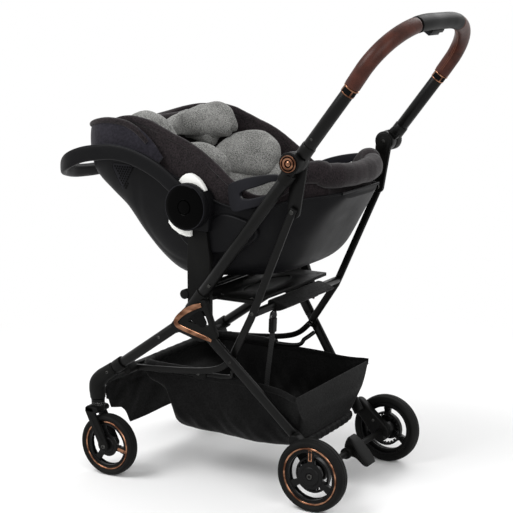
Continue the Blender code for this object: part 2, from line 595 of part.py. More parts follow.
def build_basket(pivot):
    """Fabric basket hung between the rear legs, with the tube round its front edge."""
    outer = [(-0.444, 0.214, 0.244, 0.150, 0.147), (-0.425, 0.178, 0.244, 0.152, 0.148),
             (-0.405, 0.126, 0.244, 0.152, 0.148), (-0.386, 0.096, 0.244, 0.152, 0.147),
             (-0.320, 0.089, 0.244, 0.152, 0.146), (-0.250, 0.086, 0.244, 0.152, 0.145),
             (-0.160, 0.084, 0.243, 0.151, 0.139), (-0.120, 0.086, 0.240, 0.150, 0.131),
             (-0.095, 0.093, 0.238, 0.153, 0.120), (-0.070, 0.116, 0.236, 0.162, 0.110),
             (-0.046, 0.162, 0.234, 0.174, 0.146)]
    skin = 0.0025
    inner = [(x, low + skin, high, half - skin, foot - skin) for x, low, high, half, foot in outer]
    inner[0] = (outer[0][0] + skin,) + (inner[0][1] + 0.004,) + inner[0][2:]
    inner[-1] = (outer[-1][0] - skin,) + (inner[-1][1] + 0.004,) + inner[-1][2:]
    node("basket", tub(outer, inner, 13, 5.5), "fabric_charcoal", pivot)
    y, z, edge = 0.1525, 0.2443 + 0.005, strut_foot() + 0.0019
    path = [(-0.1905, -edge, 0.2800), (-0.206, -0.162, 0.2660), (-0.235, -y, z), (-0.412, -y, z), (-0.438, -y + 0.010, z), (-0.4475, -y + 0.034, z)]
    path += [(x, -y, z) for x, y, z in path[::-1]]
    bar = sweep(path, 0.010, 0.010, (0, 0, 1), 10)
    node("basket_front_tube", bar, "frame_black", pivot)


def tub(outer, inner, columns, power):
    """Closed tub lofted through (x, bottom z, rim z, half width at rim, half width low down) stations."""
    verts, faces = [], []

    def section(x, low, high, half, foot):
        row = []
        for k in range(columns):
            a = math.pi * k / (columns - 1)
            c, s = math.cos(a), math.sin(a)
            if k in (0, columns - 1):
                row.append((x, math.copysign(half, c), high))
                continue
            drop = abs(s) ** (2 / power)
            row.append((x, math.copysign(abs(c) ** (2 / power), c) * (half + (foot - half) * drop), high - (high - low) * drop))
        return row

    for stations in (outer, inner):
        for station in stations:
            verts += section(*station)
    rows = len(outer)
    at = lambda skin, i, k: skin * rows * columns + i * columns + k
    for skin in (0, 1):
        for i in range(rows - 1):
            for k in range(columns - 1):
                faces.append((at(skin, i, k), at(skin, i, k + 1), at(skin, i + 1, k + 1), at(skin, i + 1, k)))
    for i in range(rows - 1):
        for k in (0, columns - 1):
            faces.append((at(0, i, k), at(0, i + 1, k), at(1, i + 1, k), at(1, i, k)))
    for i in (0, rows - 1):
        for skin in (0, 1):
            faces.append(tuple(at(skin, i, k) for k in range(columns)))
        faces.append((at(0, i, 0), at(0, i, columns - 1), at(1, i, columns - 1), at(1, i, 0)))
    obj = solid(verts, faces)
    bm = bmesh.new()
    bm.from_mesh(obj.data)
    bmesh.ops.triangulate(bm, faces=[f for f in bm.faces if len(f.verts) > 4])
    bm.to_mesh(obj.data)
    bm.free()
    return obj


def build_front_wheels():
    """Swivelling forks with the front wheels."""
    for name, side in SIDES.items():
        stem = (SWIVEL_X, side * TUBE_Y, SWIVEL_Z - GAP)
        foot = 2 * FRONT_R + 0.0042
        collar = rod((SWIVEL_X, side * TUBE_Y, foot), stem, 0.0245, 20)
        pin = rod((SWIVEL_X, side * TUBE_Y, foot + 0.005), (SWIVEL_X, side * TUBE_Y, SWIVEL_Z + 0.024), 2 * PIN_R, 12)
        gap = FRONT_W / 2 + 0.0012
        crown = block(-0.548, -0.512, *span(side, TUBE_Y - gap - ARM_T, TUBE_Y + gap + ARM_T), foot, foot + 0.013)
        arms = []
        for step in (-1, 1):
            y0, y1 = sorted((side * TUBE_Y + step * gap, side * TUBE_Y + step * (gap + ARM_T)))
            arms.append(prism(capsule((-0.5385, foot + 0.004), (FRONT_X, FRONT_R), 0.0090, 0.0098), y0, y1))
        axle = disc(FRONT_X, FRONT_R, PIN_R, side * TUBE_Y - gap - 0.001, side * TUBE_Y + gap + 0.001, 12)
        fork = combine(collar, [pin, crown] + arms + [axle])
        node(f"caster_fork_{name}", fork, "plastic_black", (SWIVEL_X, side * TUBE_Y, SWIVEL_Z))
        build_wheel(f"front_{{}}_{name}", (FRONT_X, FRONT_R), FRONT_R, FRONT_W, TUBE_Y, side, 0.35)


def build_stays():
    """Stays between the rear legs and sleeves that slide on the front legs."""
    (x0, z0), (x1, z1) = FRONT_LEG
    run = Vector((x0 - x1, z0 - z1)).normalized()
    foot = Vector((x1, z1)) + run * 0.003
    top = foot + run * 0.022
    pin = (foot.x + run.x * 0.011 + 0.0105, foot.y + run.y * 0.011 - 0.0155)
    stay_y = strut_foot() - STRUT_T / 2 - GAP - 0.0036
    for name, side in SIDES.items():
        ring = rod((foot.x, side * TUBE_Y, foot.y), (top.x, side * TUBE_Y, top.y), FRONT_LEG_D + 0.007, 18)
        lug = prism(capsule((pin[0] - 0.006, pin[1] + 0.009), pin, 0.0085, 0.0085),
                    *span(side, stay_y + 0.0042, TUBE_Y - FRONT_LEG_D / 2 - 0.001))
        bore = rod((foot.x - run.x * 0.01, side * TUBE_Y, foot.y - run.y * 0.01),
                   (top.x + run.x * 0.01, side * TUBE_Y, top.y + run.y * 0.01), FRONT_LEG_D + 4 * GAP, 18)
        slider = combine(combine(ring, [lug]), [bore], "DIFFERENCE")
        node(f"stay_slider_{name}", slider, "plastic_black", (pin[0], 0, pin[1]))
        path = [pin, (-0.330, pin[1] + 0.0100), (-0.262, 0.2640), (-0.225, 0.2780), STRUT_END]
        bar = prism(band(path, 0.0130), *span(side, stay_y - 0.0025, stay_y + 0.0035))
        node(f"stay_link_{name}", bar, "frame_black", (pin[0], 0, pin[1]))


SHELL = [(-0.600, 0.697, 0.703, 0.085, 0.080), (-0.592, 0.690, 0.704, 0.118, 0.112), (-0.577, 0.672, 0.706, 0.148, 0.140),
         (-0.556, 0.645, 0.708, 0.165, 0.152), (-0.517, 0.613, 0.710, 0.178, 0.162), (-0.480, 0.580, 0.712, 0.184, 0.166),
         (-0.440, 0.528, 0.711, 0.187, 0.170), (-0.395, 0.482, 0.704, 0.188, 0.174), (-0.350, 0.456, 0.690, 0.189, 0.178),
         (-0.300, 0.456, 0.668, 0.189, 0.180), (-0.249, 0.460, 0.645, 0.189, 0.180), (-0.200, 0.466, 0.630, 0.189, 0.178),
         (-0.150, 0.473, 0.628, 0.186, 0.170), (-0.108, 0.484, 0.634, 0.178, 0.156), (-0.072, 0.512, 0.646, 0.163, 0.140),
         (-0.040, 0.566, 0.652, 0.143, 0.125), (-0.010, 0.615, 0.656, 0.115, 0.105), (0.014, 0.646, 0.660, 0.078, 0.072)]
COVER_RIM = [0.770, 0.785, 0.788, 0.778, 0.766, 0.748, 0.716, 0.678, 0.650, 0.655, 0.684, 0.706, 0.704]
FLOOR = [0.700, 0.660, 0.618, 0.574, 0.540, 0.520, 0.514, 0.520, 0.534, 0.553, 0.580, 0.614, 0.655]
WING = [0.715, 0.715, 0.712, 0.705, 0.745, 0.742, 0.700, 0.645, 0.605, 0.600, 0.612, 0.640, 0.680]


def cover_inner():
    """Stations of the cover's inner skin."""
    inset = SHELL_T + COVER_SLACK + COVER_T
    rows = []
    for (x, low, high, half, foot), rim, floor in zip(SHELL[4:-1], COVER_RIM, FLOOR):
        rows.append((x, floor, rim, half * SHELL_W / 0.189 - inset, foot * SHELL_W / 0.189 - inset))
    rows[0] = (rows[0][0] + 0.012, rows[0][1] - 0.012) + rows[0][2:]
    rows[-1] = (rows[-1][0] - 0.012, rows[-1][1] - 0.015) + rows[-1][2:]
    return rows


def pad_top(x, y):
    """Height of the insert's top surface."""
    xs = [row[0] for row in SHELL[4:-1]]
    for i in range(len(xs) - 1):
        if xs[i] <= x <= xs[i + 1]:
            t = (x - xs[i]) / (xs[i + 1] - xs[i])
            base = FLOOR[i] + (FLOOR[i + 1] - FLOOR[i]) * t + PAD_T
            wing = WING[i] + (WING[i + 1] - WING[i]) * t
            share = min(1.0, max(0.0, (abs(y) - 0.072) / 0.050))
            return base + (wing - base) * share * share * (3 - 2 * share)
    return FLOOR[-1]


def build_car_seat():
    """Infant car seat: shell, carrying handle, linings, hood, harness and belt guides."""
    scale = SHELL_W / 0.189
    outer = [(x, low, high, half * scale, foot * scale) for x, low, high, half, foot in SHELL]
    inner = [(x, low + SHELL_T, high, half - SHELL_T, foot - SHELL_T) for x, low, high, half, foot in outer]
    inner[0] = (outer[0][0] + 0.003, outer[0][1] + 0.003) + inner[0][2:]
    inner[-1] = (outer[-1][0] - 0.003, outer[-1][1] + 0.003) + inner[-1][2:]
    shell = tub(outer, inner, 13, 4.5)
    lugs, pockets = [], []
    post = TUBE_Y - TUBE_D / 2 - 0.002 - GAP
    hub_in = post + 0.0085
    for side in SIDES.values():
        lugs.append(disc(HUB_X, HUB_Z, 0.036, *span(side, SHELL_W - 0.0055, hub_in), 24))
        lugs.append(block(-0.298, -0.242, *span(side, SHELL_W - 0.0055, post + 0.003), 0.575 + GAP, 0.640))
        pockets.append(block(-0.2845, -0.2555, *span(side, post - 0.0105, post - 0.0015), 0.57, PEG_TOP + PEG_FREE))
    shell = combine(combine(shell, lugs), pockets, "DIFFERENCE")
    node("seat_shell", shell, "plastic_black")
    inset = SHELL_T + COVER_SLACK
    covering = [(x, low + inset, rim, half - inset, foot - inset)
                for (x, low, high, half, foot), rim in zip(outer[4:-1], COVER_RIM)]
    node("seat_cover", tub(covering, cover_inner(), 13, 4.5), "fabric_charcoal")
    build_carry_handle(hub_in + GAP)
    build_linings()
    build_belt_guides()


def build_carry_handle(face):
    """Carrying handle with a hub and a release button on each side."""
    pivot = (HUB_X, 0, HUB_Z)
    y = face + CARRY_T / 2 + 0.0015
    far = HUB_X - CARRY_REACH
    half = [(HUB_X - 0.022, y, HUB_Z + 0.030), (HUB_X - 0.075, y, HUB_Z + 0.068), (HUB_X - 0.135, y, HUB_Z + 0.093),
            (HUB_X - 0.192, y, HUB_Z + 0.102), (HUB_X - 0.248, y, HUB_Z + 0.096), (HUB_X - 0.287, y - 0.001, HUB_Z + 0.087),
            (HUB_X - 0.321, y - 0.008, HUB_Z + 0.072), (HUB_X - 0.349, y - 0.032, HUB_Z + 0.056),
            (HUB_X - 0.371, y - 0.074, HUB_Z + 0.043), (HUB_X - 0.384, y - 0.125, HUB_Z + 0.033)]
    path = [(x, -y, z) for x, y, z in half] + [(far, 0, HUB_Z + 0.027)] + half[::-1]
    thin = [CARRY_T] * 7 + [CARRY_T + 0.004, CARRY_T + 0.008, CARRY_T + 0.011]
    thin = thin + [CARRY_T + 0.012] + thin[::-1]
    wide = [CARRY_BAND] * 7 + [CARRY_BAND - 0.002, CARRY_BAND - 0.004, CARRY_BAND - 0.005]
    wide = wide + [CARRY_BAND - 0.006] + wide[::-1]
    body = sweep(path, wide, thin, (0, 0, 1), 12, 3.0)
    hubs, wells = [], []
    for side in SIDES.values():
        hubs.append(disc(HUB_X, HUB_Z, HUB_R, *span(side, face, face + HUB_T), 36))
        wells.append(disc(HUB_X, HUB_Z, BUTTON_R + GAP, *span(side, face + HUB_T - 0.008, face + HUB_T + 0.01), 24))
    node("carry_handle", combine(combine(body, hubs), wells, "DIFFERENCE"), "plastic_black", pivot)
    for name, side in SIDES.items():
        button = disc(HUB_X, HUB_Z, BUTTON_R, *span(side, face + HUB_T - 0.0045, face + HUB_T + 0.0015), 24)
        node(f"handle_button_{name}", button, "plastic_grey", (HUB_X, side * (face + HUB_T), HUB_Z))


def strap_piece(points, width, thick):
    """Flat strap lofted through (x, y) points over the insert."""
    verts, faces = [], []
    for x, y in points:
        rest = max(pad_top(x, y - width / 2), pad_top(x, y + width / 2)) + 0.0010
        verts += [(x, y - width / 2, rest), (x, y + width / 2, rest),
                  (x, y + width / 2, rest + thick), (x, y - width / 2, rest + thick)]
    for i in range(len(points) - 1):
        for k in range(4):
            n = (k + 1) % 4
            faces.append((4 * i + k, 4 * i + n, 4 * i + 4 + n, 4 * i + 4 + k))
    last = 4 * len(points)
    return solid(verts, faces + [(0, 1, 2, 3), (last - 1, last - 2, last - 3, last - 4)])


def build_linings():
    """Insert, head support, hood and harness."""
    xs = [row[0] for row in SHELL[5:-3]]
    half = [0.885, 0.80, 0.71, 0.62, 0.53, 0.42]
    shares = [-v for v in half] + [0.0] + half[::-1]
    inner = cover_inner()[1:-2]
    verts, faces = [], []
    for x, low, high, wide, foot in inner:
        for share in shares:
            drop = (1 - abs(share) ** 4.5) ** (1 / 4.5)
            verts.append((x, share * foot, high - (high - low) * drop + 0.0027))
    for (x, low, high, wide, foot) in inner:
        for share in shares:
            verts.append((x, share * foot, pad_top(x, share * foot)))
    ys = shares
    rows, columns = len(xs), len(ys)
    at = lambda skin, i, k: skin * rows * columns + i * columns + k
    for skin in (0, 1):
        for i in range(rows - 1):
            for k in range(columns - 1):
                faces.append((at(skin, i, k), at(skin, i, k + 1), at(skin, i + 1, k + 1), at(skin, i + 1, k)))
    for i in range(rows - 1):
        for k in (0, columns - 1):
            faces.append((at(0, i, k), at(0, i + 1, k), at(1, i + 1, k), at(1, i, k)))
    for i in (0, rows - 1):
        for k in range(columns - 1):
            faces.append((at(0, i, k), at(0, i, k + 1), at(1, i, k + 1), at(1, i, k)))
    node("seat_pad", solid(verts, faces), "fabric_melange")
    half = [(-0.378, -0.112, 0.748), (-0.415, -0.120, 0.762), (-0.453, -0.116, 0.766), (-0.486, -0.080, 0.764),
            (-0.493, -0.035, 0.760)]
    scale = SHELL_W / 0.189
    half = [(x, y * scale, z) for x, y, z in half]
    path = half + [(-0.4944, 0, 0.759)] + [(x, -y, z) for x, y, z in half[::-1]]
    size = [0.030, 0.080, 0.085, 0.060, 0.046]
    size = size + [0.042] + size[::-1]
    node("head_support", sweep(path, size, [v * 0.5 for v in size], (0, 0, 1), 12), "fabric_melange")
    half = [(-0.371, -0.1925, 0.7095), (-0.410, -0.1935, 0.7420), (-0.450, -0.1930, 0.7540), (-0.500, -0.1890, 0.7560),
            (-0.542, -0.1750, 0.7510), (-0.571, -0.1420, 0.7460), (-0.584, -0.0850, 0.7420)]
    half = [(x, y * scale, z) for x, y, z in half]
    path = half + [(-0.586, 0, 0.7400)] + [(x, -y, z) for x, y, z in half[::-1]]
    tall = [0.037, 0.056, 0.078, 0.084, 0.080, 0.068, 0.060]
    tall = tall + [0.056] + tall[::-1]
    thick = [0.0085, 0.0110, 0.0120, 0.0130, 0.0160, 0.0220, 0.0280]
    thick = thick + [0.0300] + thick[::-1]
    hood = sweep(path, tall, thick, (0, 0, 1), 12, 2.4)
    node("canopy", hood, "fabric_slate", (-0.371, 0, 0.7120))
    left = strap_piece([(-0.448, -0.040), (-0.395, -0.045), (-0.350, -0.046), (-0.300, -0.042), (-0.235, -0.018)], 0.030, 0.003)
    right = strap_piece([(-0.448, 0.040), (-0.395, 0.045), (-0.350, 0.046), (-0.300, 0.042), (-0.235, 0.018)], 0.030, 0.003)
    low = strap_piece([(-0.262, 0.0), (-0.200, 0.0), (-0.150, 0.0), (-0.120, 0.0)], 0.034, 0.0034)
    node("harness_straps", combine(low, [left, right]), "webbing")
    rest = pad_top(-0.215, 0.02) + 0.0076
    buckle = block(-0.2485 + GAP, -0.1965 - GAP, -0.030, 0.030, rest, rest + 0.016)
    well = block(-0.232, -0.206, -0.012, 0.012, rest + 0.009, rest + 0.03)
    node("harness_buckle", combine(buckle, [well], "DIFFERENCE"), "plastic_black")
    button = block(-0.232 + GAP, -0.206 - GAP, -0.012 + GAP, 0.012 - GAP, rest + 0.0125, rest + 0.018)
    node("buckle_button", button, "button_red", (-0.219, 0, rest + 0.018))


def build_belt_guides():
    """Hooks on the rim that guide a vehicle belt."""
    outline = [(-0.192, 0.6450), (-0.192, 0.6900), (-0.150, 0.7040), (-0.071, 0.7060), (-0.071, 0.6880),
               (-0.125, 0.6840), (-0.150, 0.6700), (-0.150, 0.6450), (-0.111, 0.6610), (-0.090, 0.6580),
               (-0.090, 0.6400), (-0.120, 0.6355), (-0.150, 0.6060), (-0.192, 0.6060)]
    for name, side in SIDES.items():
        node(f"belt_guide_{name}", prism(outline, *span(side, SHELL_W + GAP, SHELL_W + 0.0115)), "plastic_grey")


def centre_on_origin():
    """Shift everything so that the middle of the whole length lies over the origin."""
    bpy.context.view_layer.update()
    corners = [obj.matrix_world @ Vector(c) for obj in bpy.data.objects for c in obj.bound_box]
    middle = (min(c.x for c in corners) + max(c.x for c in corners)) / 2
    for obj in bpy.data.objects:
        obj.location.x -= middle
    return middle


def main():
    """Build every piece."""
    for obj in list(bpy.data.objects):
        bpy.data.objects.remove(obj)
    build_chassis()
    build_handle()
    build_struts()
    build_rear()
    build_front_wheels()
    build_stays()
    build_car_seat()
    centre_on_origin()


main()
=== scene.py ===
"""Looks of a folding pushchair frame with an infant car seat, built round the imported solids.

Every piece is modelled in the maker's frame: metres, x = 0 at the rear axle, z = 0 at the floor and
y = 0 in the middle, with the front toward -X and the left side, as pushed, toward -Y. A finished piece
is then shifted along X to the row frame.
"""
from __future__ import annotations

import logging
import math
from dataclasses import dataclass
from enum import Enum
from typing import Any, Callable, Iterable, Sequence

import bmesh
import bpy
import numpy as np
from mathutils import Matrix, Vector


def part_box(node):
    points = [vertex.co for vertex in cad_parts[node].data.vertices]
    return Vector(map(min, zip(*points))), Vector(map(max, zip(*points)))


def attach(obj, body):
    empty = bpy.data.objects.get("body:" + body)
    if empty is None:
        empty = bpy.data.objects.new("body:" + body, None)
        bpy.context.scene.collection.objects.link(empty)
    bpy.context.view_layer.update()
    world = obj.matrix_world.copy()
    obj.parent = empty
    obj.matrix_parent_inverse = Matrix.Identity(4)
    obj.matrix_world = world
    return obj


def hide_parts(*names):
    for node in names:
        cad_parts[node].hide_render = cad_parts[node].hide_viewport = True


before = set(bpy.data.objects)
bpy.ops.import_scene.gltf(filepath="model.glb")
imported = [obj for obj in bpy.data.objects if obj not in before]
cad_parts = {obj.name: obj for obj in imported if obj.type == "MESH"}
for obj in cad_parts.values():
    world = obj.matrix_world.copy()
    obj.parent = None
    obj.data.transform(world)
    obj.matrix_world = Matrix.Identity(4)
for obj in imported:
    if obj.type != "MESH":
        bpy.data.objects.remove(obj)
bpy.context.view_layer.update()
LOG = logging.getLogger("pushchair")

Vec2 = tuple[float, float]
Vec3 = tuple[float, float, float]
Object = bpy.types.Object
Material = bpy.types.Material
Node = bpy.types.Node
Socket = bpy.types.NodeSocket
Tree = bpy.types.NodeTree


def axle_shift() -> float:
    """Returns the distance along X from the rear axle to the row frame's origin, in metres."""
    low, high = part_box("rear_tyre_left")
    return (low.x + high.x) / 2


SHIFT = axle_shift()


class Side(Enum):
    """Left and right as the person pushing sees them."""

    LEFT = ("left", -1)
    RIGHT = ("right", 1)

    @property
    def word(self) -> str:
        """The side's name, as it ends the names of nodes."""
        return self.value[0]

    @property
    def sign(self) -> int:
        """The sign of Y on this side."""
        return self.value[1]

    @property
    def outward(self) -> Vec3:
        """Direction along Y that leads away from the middle plane."""
        return 0.0, float(self.sign), 0.0

    @property
    def inward(self) -> Vec3:
        """Direction along Y that leads to the middle plane."""
        return 0.0, -float(self.sign), 0.0

    def span(self, inner: float, outer: float) -> Vec2:
        """Two Y values in rising order, from distances to the middle plane."""
        low, high = sorted((self.sign * inner, self.sign * outer))
        return low, high


# Node trees


def add_node(tree: Tree, kind: str, settings: dict[str, Any] | None = None,
             inputs: dict[Any, Any] | None = None) -> Node:
    """Adds a node with its settings and links.

    Args:
        tree: the shader or geometry tree that gets the node.
        kind: the node's type name.
        settings: attributes of the node.
        inputs: values or output sockets by input name or number.

    Returns:
        The new node.
    """
    node = tree.nodes.new(kind)
    for key, value in (settings or {}).items():
        setattr(node, key, value)
    for key, value in (inputs or {}).items():
        socket = node.inputs[key]
        if isinstance(value, Socket):
            tree.links.new(value, socket)
        else:
            socket.default_value = value
    return node


def linear(code: str) -> tuple[float, float, float, float]:
    """Turns an sRGB hex colour such as "#c98d6b" to linear RGBA."""
    parts = [int(code[i:i + 2], 16) / 255 for i in (1, 3, 5)]
    r, g, b = (c / 12.92 if c <= 0.04045 else ((c + 0.055) / 1.055) ** 2.4 for c in parts)
    return r, g, b, 1.0


def per_metre(millimetres: float) -> float:
    """Texture scale at which one feature of the pattern is that many millimetres."""
    return 1000.0 / millimetres


@dataclass(frozen=True)
class Finish:
    """A surface with two tones mixed by a grain and a bump from the same grain.

    Attributes:
        name: the material's name.
        dark: sRGB hex of the darker tone.
        light: sRGB hex of the lighter tone.
        rough: lowest and highest roughness over the surface.
        metallic: metallic value of the shader.
        grain_mm: size of one grain.
        bump: strength of the grain's bump.
        depth_mm: height of the grain.
        sheen: sheen weight, for the nap of a cloth.
        specular: specular level of the shader.
    """

    name: str
    dark: str
    light: str
    rough: Vec2 = (0.4, 0.5)
    metallic: float = 0.0
    grain_mm: float = 1.0
    bump: float = 0.2
    depth_mm: float = 0.1
    sheen: float = 0.0
    specular: float = 0.08

    def build(self) -> Material:
        """Makes the material with its pattern on Object coordinates.

        Returns:
            The finished material.
        """
        mat = bpy.data.materials.new(self.name)
        mat.use_nodes = True
        tree = mat.node_tree
        shader = tree.nodes["Principled BSDF"]
        for key, value in (("Metallic", self.metallic), ("Sheen Weight", self.sheen), ("Sheen Roughness", 0.45),
                           ("Specular IOR Level", self.specular)):
            shader.inputs[key].default_value = value
        where = add_node(tree, "ShaderNodeTexCoord").outputs["Object"]
        tone, height = self.pattern(tree, where)
        blend = add_node(tree, "ShaderNodeMix", {"data_type": "RGBA"},
                         {0: tone, 6: linear(self.dark), 7: linear(self.light)})
        tree.links.new(blend.outputs[2], shader.inputs["Base Color"])
        spread = add_node(tree, "ShaderNodeMapRange", None, {0: tone, 3: self.rough[1], 4: self.rough[0]})
        tree.links.new(spread.outputs[0], shader.inputs["Roughness"])
        relief = add_node(tree, "ShaderNodeBump", None,
                          {"Strength": self.bump, "Distance": self.depth_mm / 1000, "Height": height})
        tree.links.new(relief.outputs[0], shader.inputs["Normal"])
        return mat

    def pattern(self, tree: Tree, where: Socket) -> tuple[Socket, Socket]:
        """Fine grain under a slow cloud, as on a coated or moulded surface.

        Args:
            tree: the material's tree.
            where: the Object coordinates.

        Returns:
            The tone from 0 to 1 and the height of the relief.
        """
        grain = add_node(tree, "ShaderNodeTexNoise", None,
                         {"Vector": where, "Scale": per_metre(self.grain_mm), "Detail": 3.0, "Roughness": 0.6})
        cloud = add_node(tree, "ShaderNodeTexNoise", None, {"Vector": where, "Scale": per_metre(45), "Detail": 2.0})
        tone = add_node(tree, "ShaderNodeMath", {"operation": "MULTIPLY_ADD"},
                        {0: grain.outputs[0], 1: 0.6, 2: cloud.outputs[0]})
        level = add_node(tree, "ShaderNodeMapRange", None, {0: tone.outputs[0], 1: 0.45, 2: 1.15})
        return level.outputs[0], grain.outputs[0]


@dataclass(frozen=True)
class Leatherette(Finish):
    """Embossed imitation leather: rounded cells with fine creases between them."""

    def pattern(self, tree: Tree, where: Socket) -> tuple[Socket, Socket]:
        """Cells of the emboss, lighter on their tops and darker in the creases between them.

        Args:
            tree: the material's tree.
            where: the Object coordinates.

        Returns:
            The tone from 0 to 1 and the height of the relief.
        """
        stir = add_node(tree, "ShaderNodeTexNoise", None, {"Vector": where, "Scale": per_metre(6), "Detail": 2.0})
        bent = add_node(tree, "ShaderNodeMix", {"data_type": "VECTOR"}, {0: 0.0015, 4: where, 5: stir.outputs[1]})
        cells = add_node(tree, "ShaderNodeTexVoronoi", {"feature": "SMOOTH_F1"},
                         {"Vector": bent.outputs[1], "Scale": per_metre(self.grain_mm), "Smoothness": 0.35})
        cloud = add_node(tree, "ShaderNodeTexNoise", None, {"Vector": where, "Scale": per_metre(28), "Detail": 4.0})
        tone = add_node(tree, "ShaderNodeMath", {"operation": "MULTIPLY_ADD"},
                        {0: cells.outputs[0], 1: -0.35, 2: cloud.outputs[0]})
        level = add_node(tree, "ShaderNodeMapRange", None, {0: tone.outputs[0], 1: 0.1, 2: 0.55})
        upside = add_node(tree, "ShaderNodeMath", {"operation": "SUBTRACT"}, {0: 1.0, 1: cells.outputs[0]})
        return level.outputs[0], upside.outputs[0]


@dataclass(frozen=True)
class Heather(Finish):
    """Cloth of threads dyed in two tones, seen as speckles with a slight run one way.

    Attributes:
        run: stretch of the speckles along X, Y and Z.
        thread_mm: spacing of the weave that gives the bump.
        contrast: noise values that give the darker and the lighter tone.
    """

    run: Vec3 = (1.0, 1.0, 1.0)
    thread_mm: float = 1.4
    contrast: Vec2 = (0.36, 0.64)

    def pattern(self, tree: Tree, where: Socket) -> tuple[Socket, Socket]:
        """Two sizes of speckle and crossing threads.

        Args:
            tree: the material's tree.
            where: the Object coordinates.

        Returns:
            The tone from 0 to 1 and the height of the relief.
        """
        laid = add_node(tree, "ShaderNodeMapping", None, {"Vector": where, "Rotation": (0.0, 0.6, 0.3),
                                                          "Scale": self.run})
        speck = add_node(tree, "ShaderNodeTexNoise", None,
                         {"Vector": laid.outputs[0], "Scale": per_metre(self.grain_mm), "Detail": 4.0,
                          "Roughness": 0.7})
        fold = add_node(tree, "ShaderNodeTexNoise", None, {"Vector": where, "Scale": per_metre(60), "Detail": 3.0})
        tone = add_node(tree, "ShaderNodeMath", {"operation": "MULTIPLY_ADD"},
                        {0: fold.outputs[0], 1: 0.22, 2: speck.outputs[0]})
        level = add_node(tree, "ShaderNodeMapRange", None,
                         {0: tone.outputs[0], 1: self.contrast[0] + 0.11, 2: self.contrast[1] + 0.11})
        warp, weft = (add_node(tree, "ShaderNodeTexWave", {"bands_direction": way},
                               {"Vector": where, "Scale": per_metre(self.thread_mm) / 6.28, "Distortion": 1.5,
                                "Detail Scale": 2.0}) for way in ("X", "Z"))
        cross = add_node(tree, "ShaderNodeMath", {"operation": "MAXIMUM"}, {0: warp.outputs[1], 1: weft.outputs[1]})
        height = add_node(tree, "ShaderNodeMath", {"operation": "ADD"}, {0: cross.outputs[0], 1: speck.outputs[0]})
        return level.outputs[0], height.outputs[0]


@dataclass(frozen=True)
class Webbing(Finish):
    """Ribbed woven strap; the ribs cross it along its own UV length."""

    def pattern(self, tree: Tree, where: Socket) -> tuple[Socket, Socket]:
        """Ribs at the thread's pitch on UV, with lint over them.

        Args:
            tree: the material's tree.
            where: the Object coordinates.

        Returns:
            The tone from 0 to 1 and the height of the relief.
        """
        chart = add_node(tree, "ShaderNodeTexCoord").outputs["UV"]
        ribs = add_node(tree, "ShaderNodeTexWave", {"bands_direction": "X"},
                        {"Vector": chart, "Scale": per_metre(self.grain_mm) / 6.28, "Distortion": 0.4})
        lint = add_node(tree, "ShaderNodeTexNoise", None, {"Vector": where, "Scale": per_metre(1.5), "Detail": 3.0})
        tone = add_node(tree, "ShaderNodeMath", {"operation": "MULTIPLY_ADD"},
                        {0: ribs.outputs[1], 1: 0.7, 2: lint.outputs[0]})
        level = add_node(tree, "ShaderNodeMapRange", None, {0: tone.outputs[0], 1: 0.4, 2: 1.2})
        return level.outputs[0], ribs.outputs[1]


@dataclass(frozen=True)
class Plated(Finish):
    """Thin metal plating with soft streaks of painted reflection in its colour: lighter and darker bands that stand
    for the room mirrored in it.
    """

    def pattern(self, tree: Tree, where: Socket) -> tuple[Socket, Socket]:
        """Streaks of painted reflection a few centimetres long with soft edges.

        Args:
            tree: the material's tree.
            where: the Object coordinates.

        Returns:
            The tone from 0 to 1 and the height of the relief.
        """
        laid = add_node(tree, "ShaderNodeMapping", None, {"Vector": where, "Rotation": (0.0, 0.7, 0.0),
                                                          "Scale": (1.0, 0.3, 2.2)})
        reflection_streak = add_node(tree, "ShaderNodeTexNoise", None,
                          {"Vector": laid.outputs[0], "Scale": per_metre(self.grain_mm), "Detail": 1.0})
        level = add_node(tree, "ShaderNodeMapRange", None, {0: reflection_streak.outputs[0], 1: 0.34, 2: 0.66})
        return level.outputs[0], reflection_streak.outputs[0]


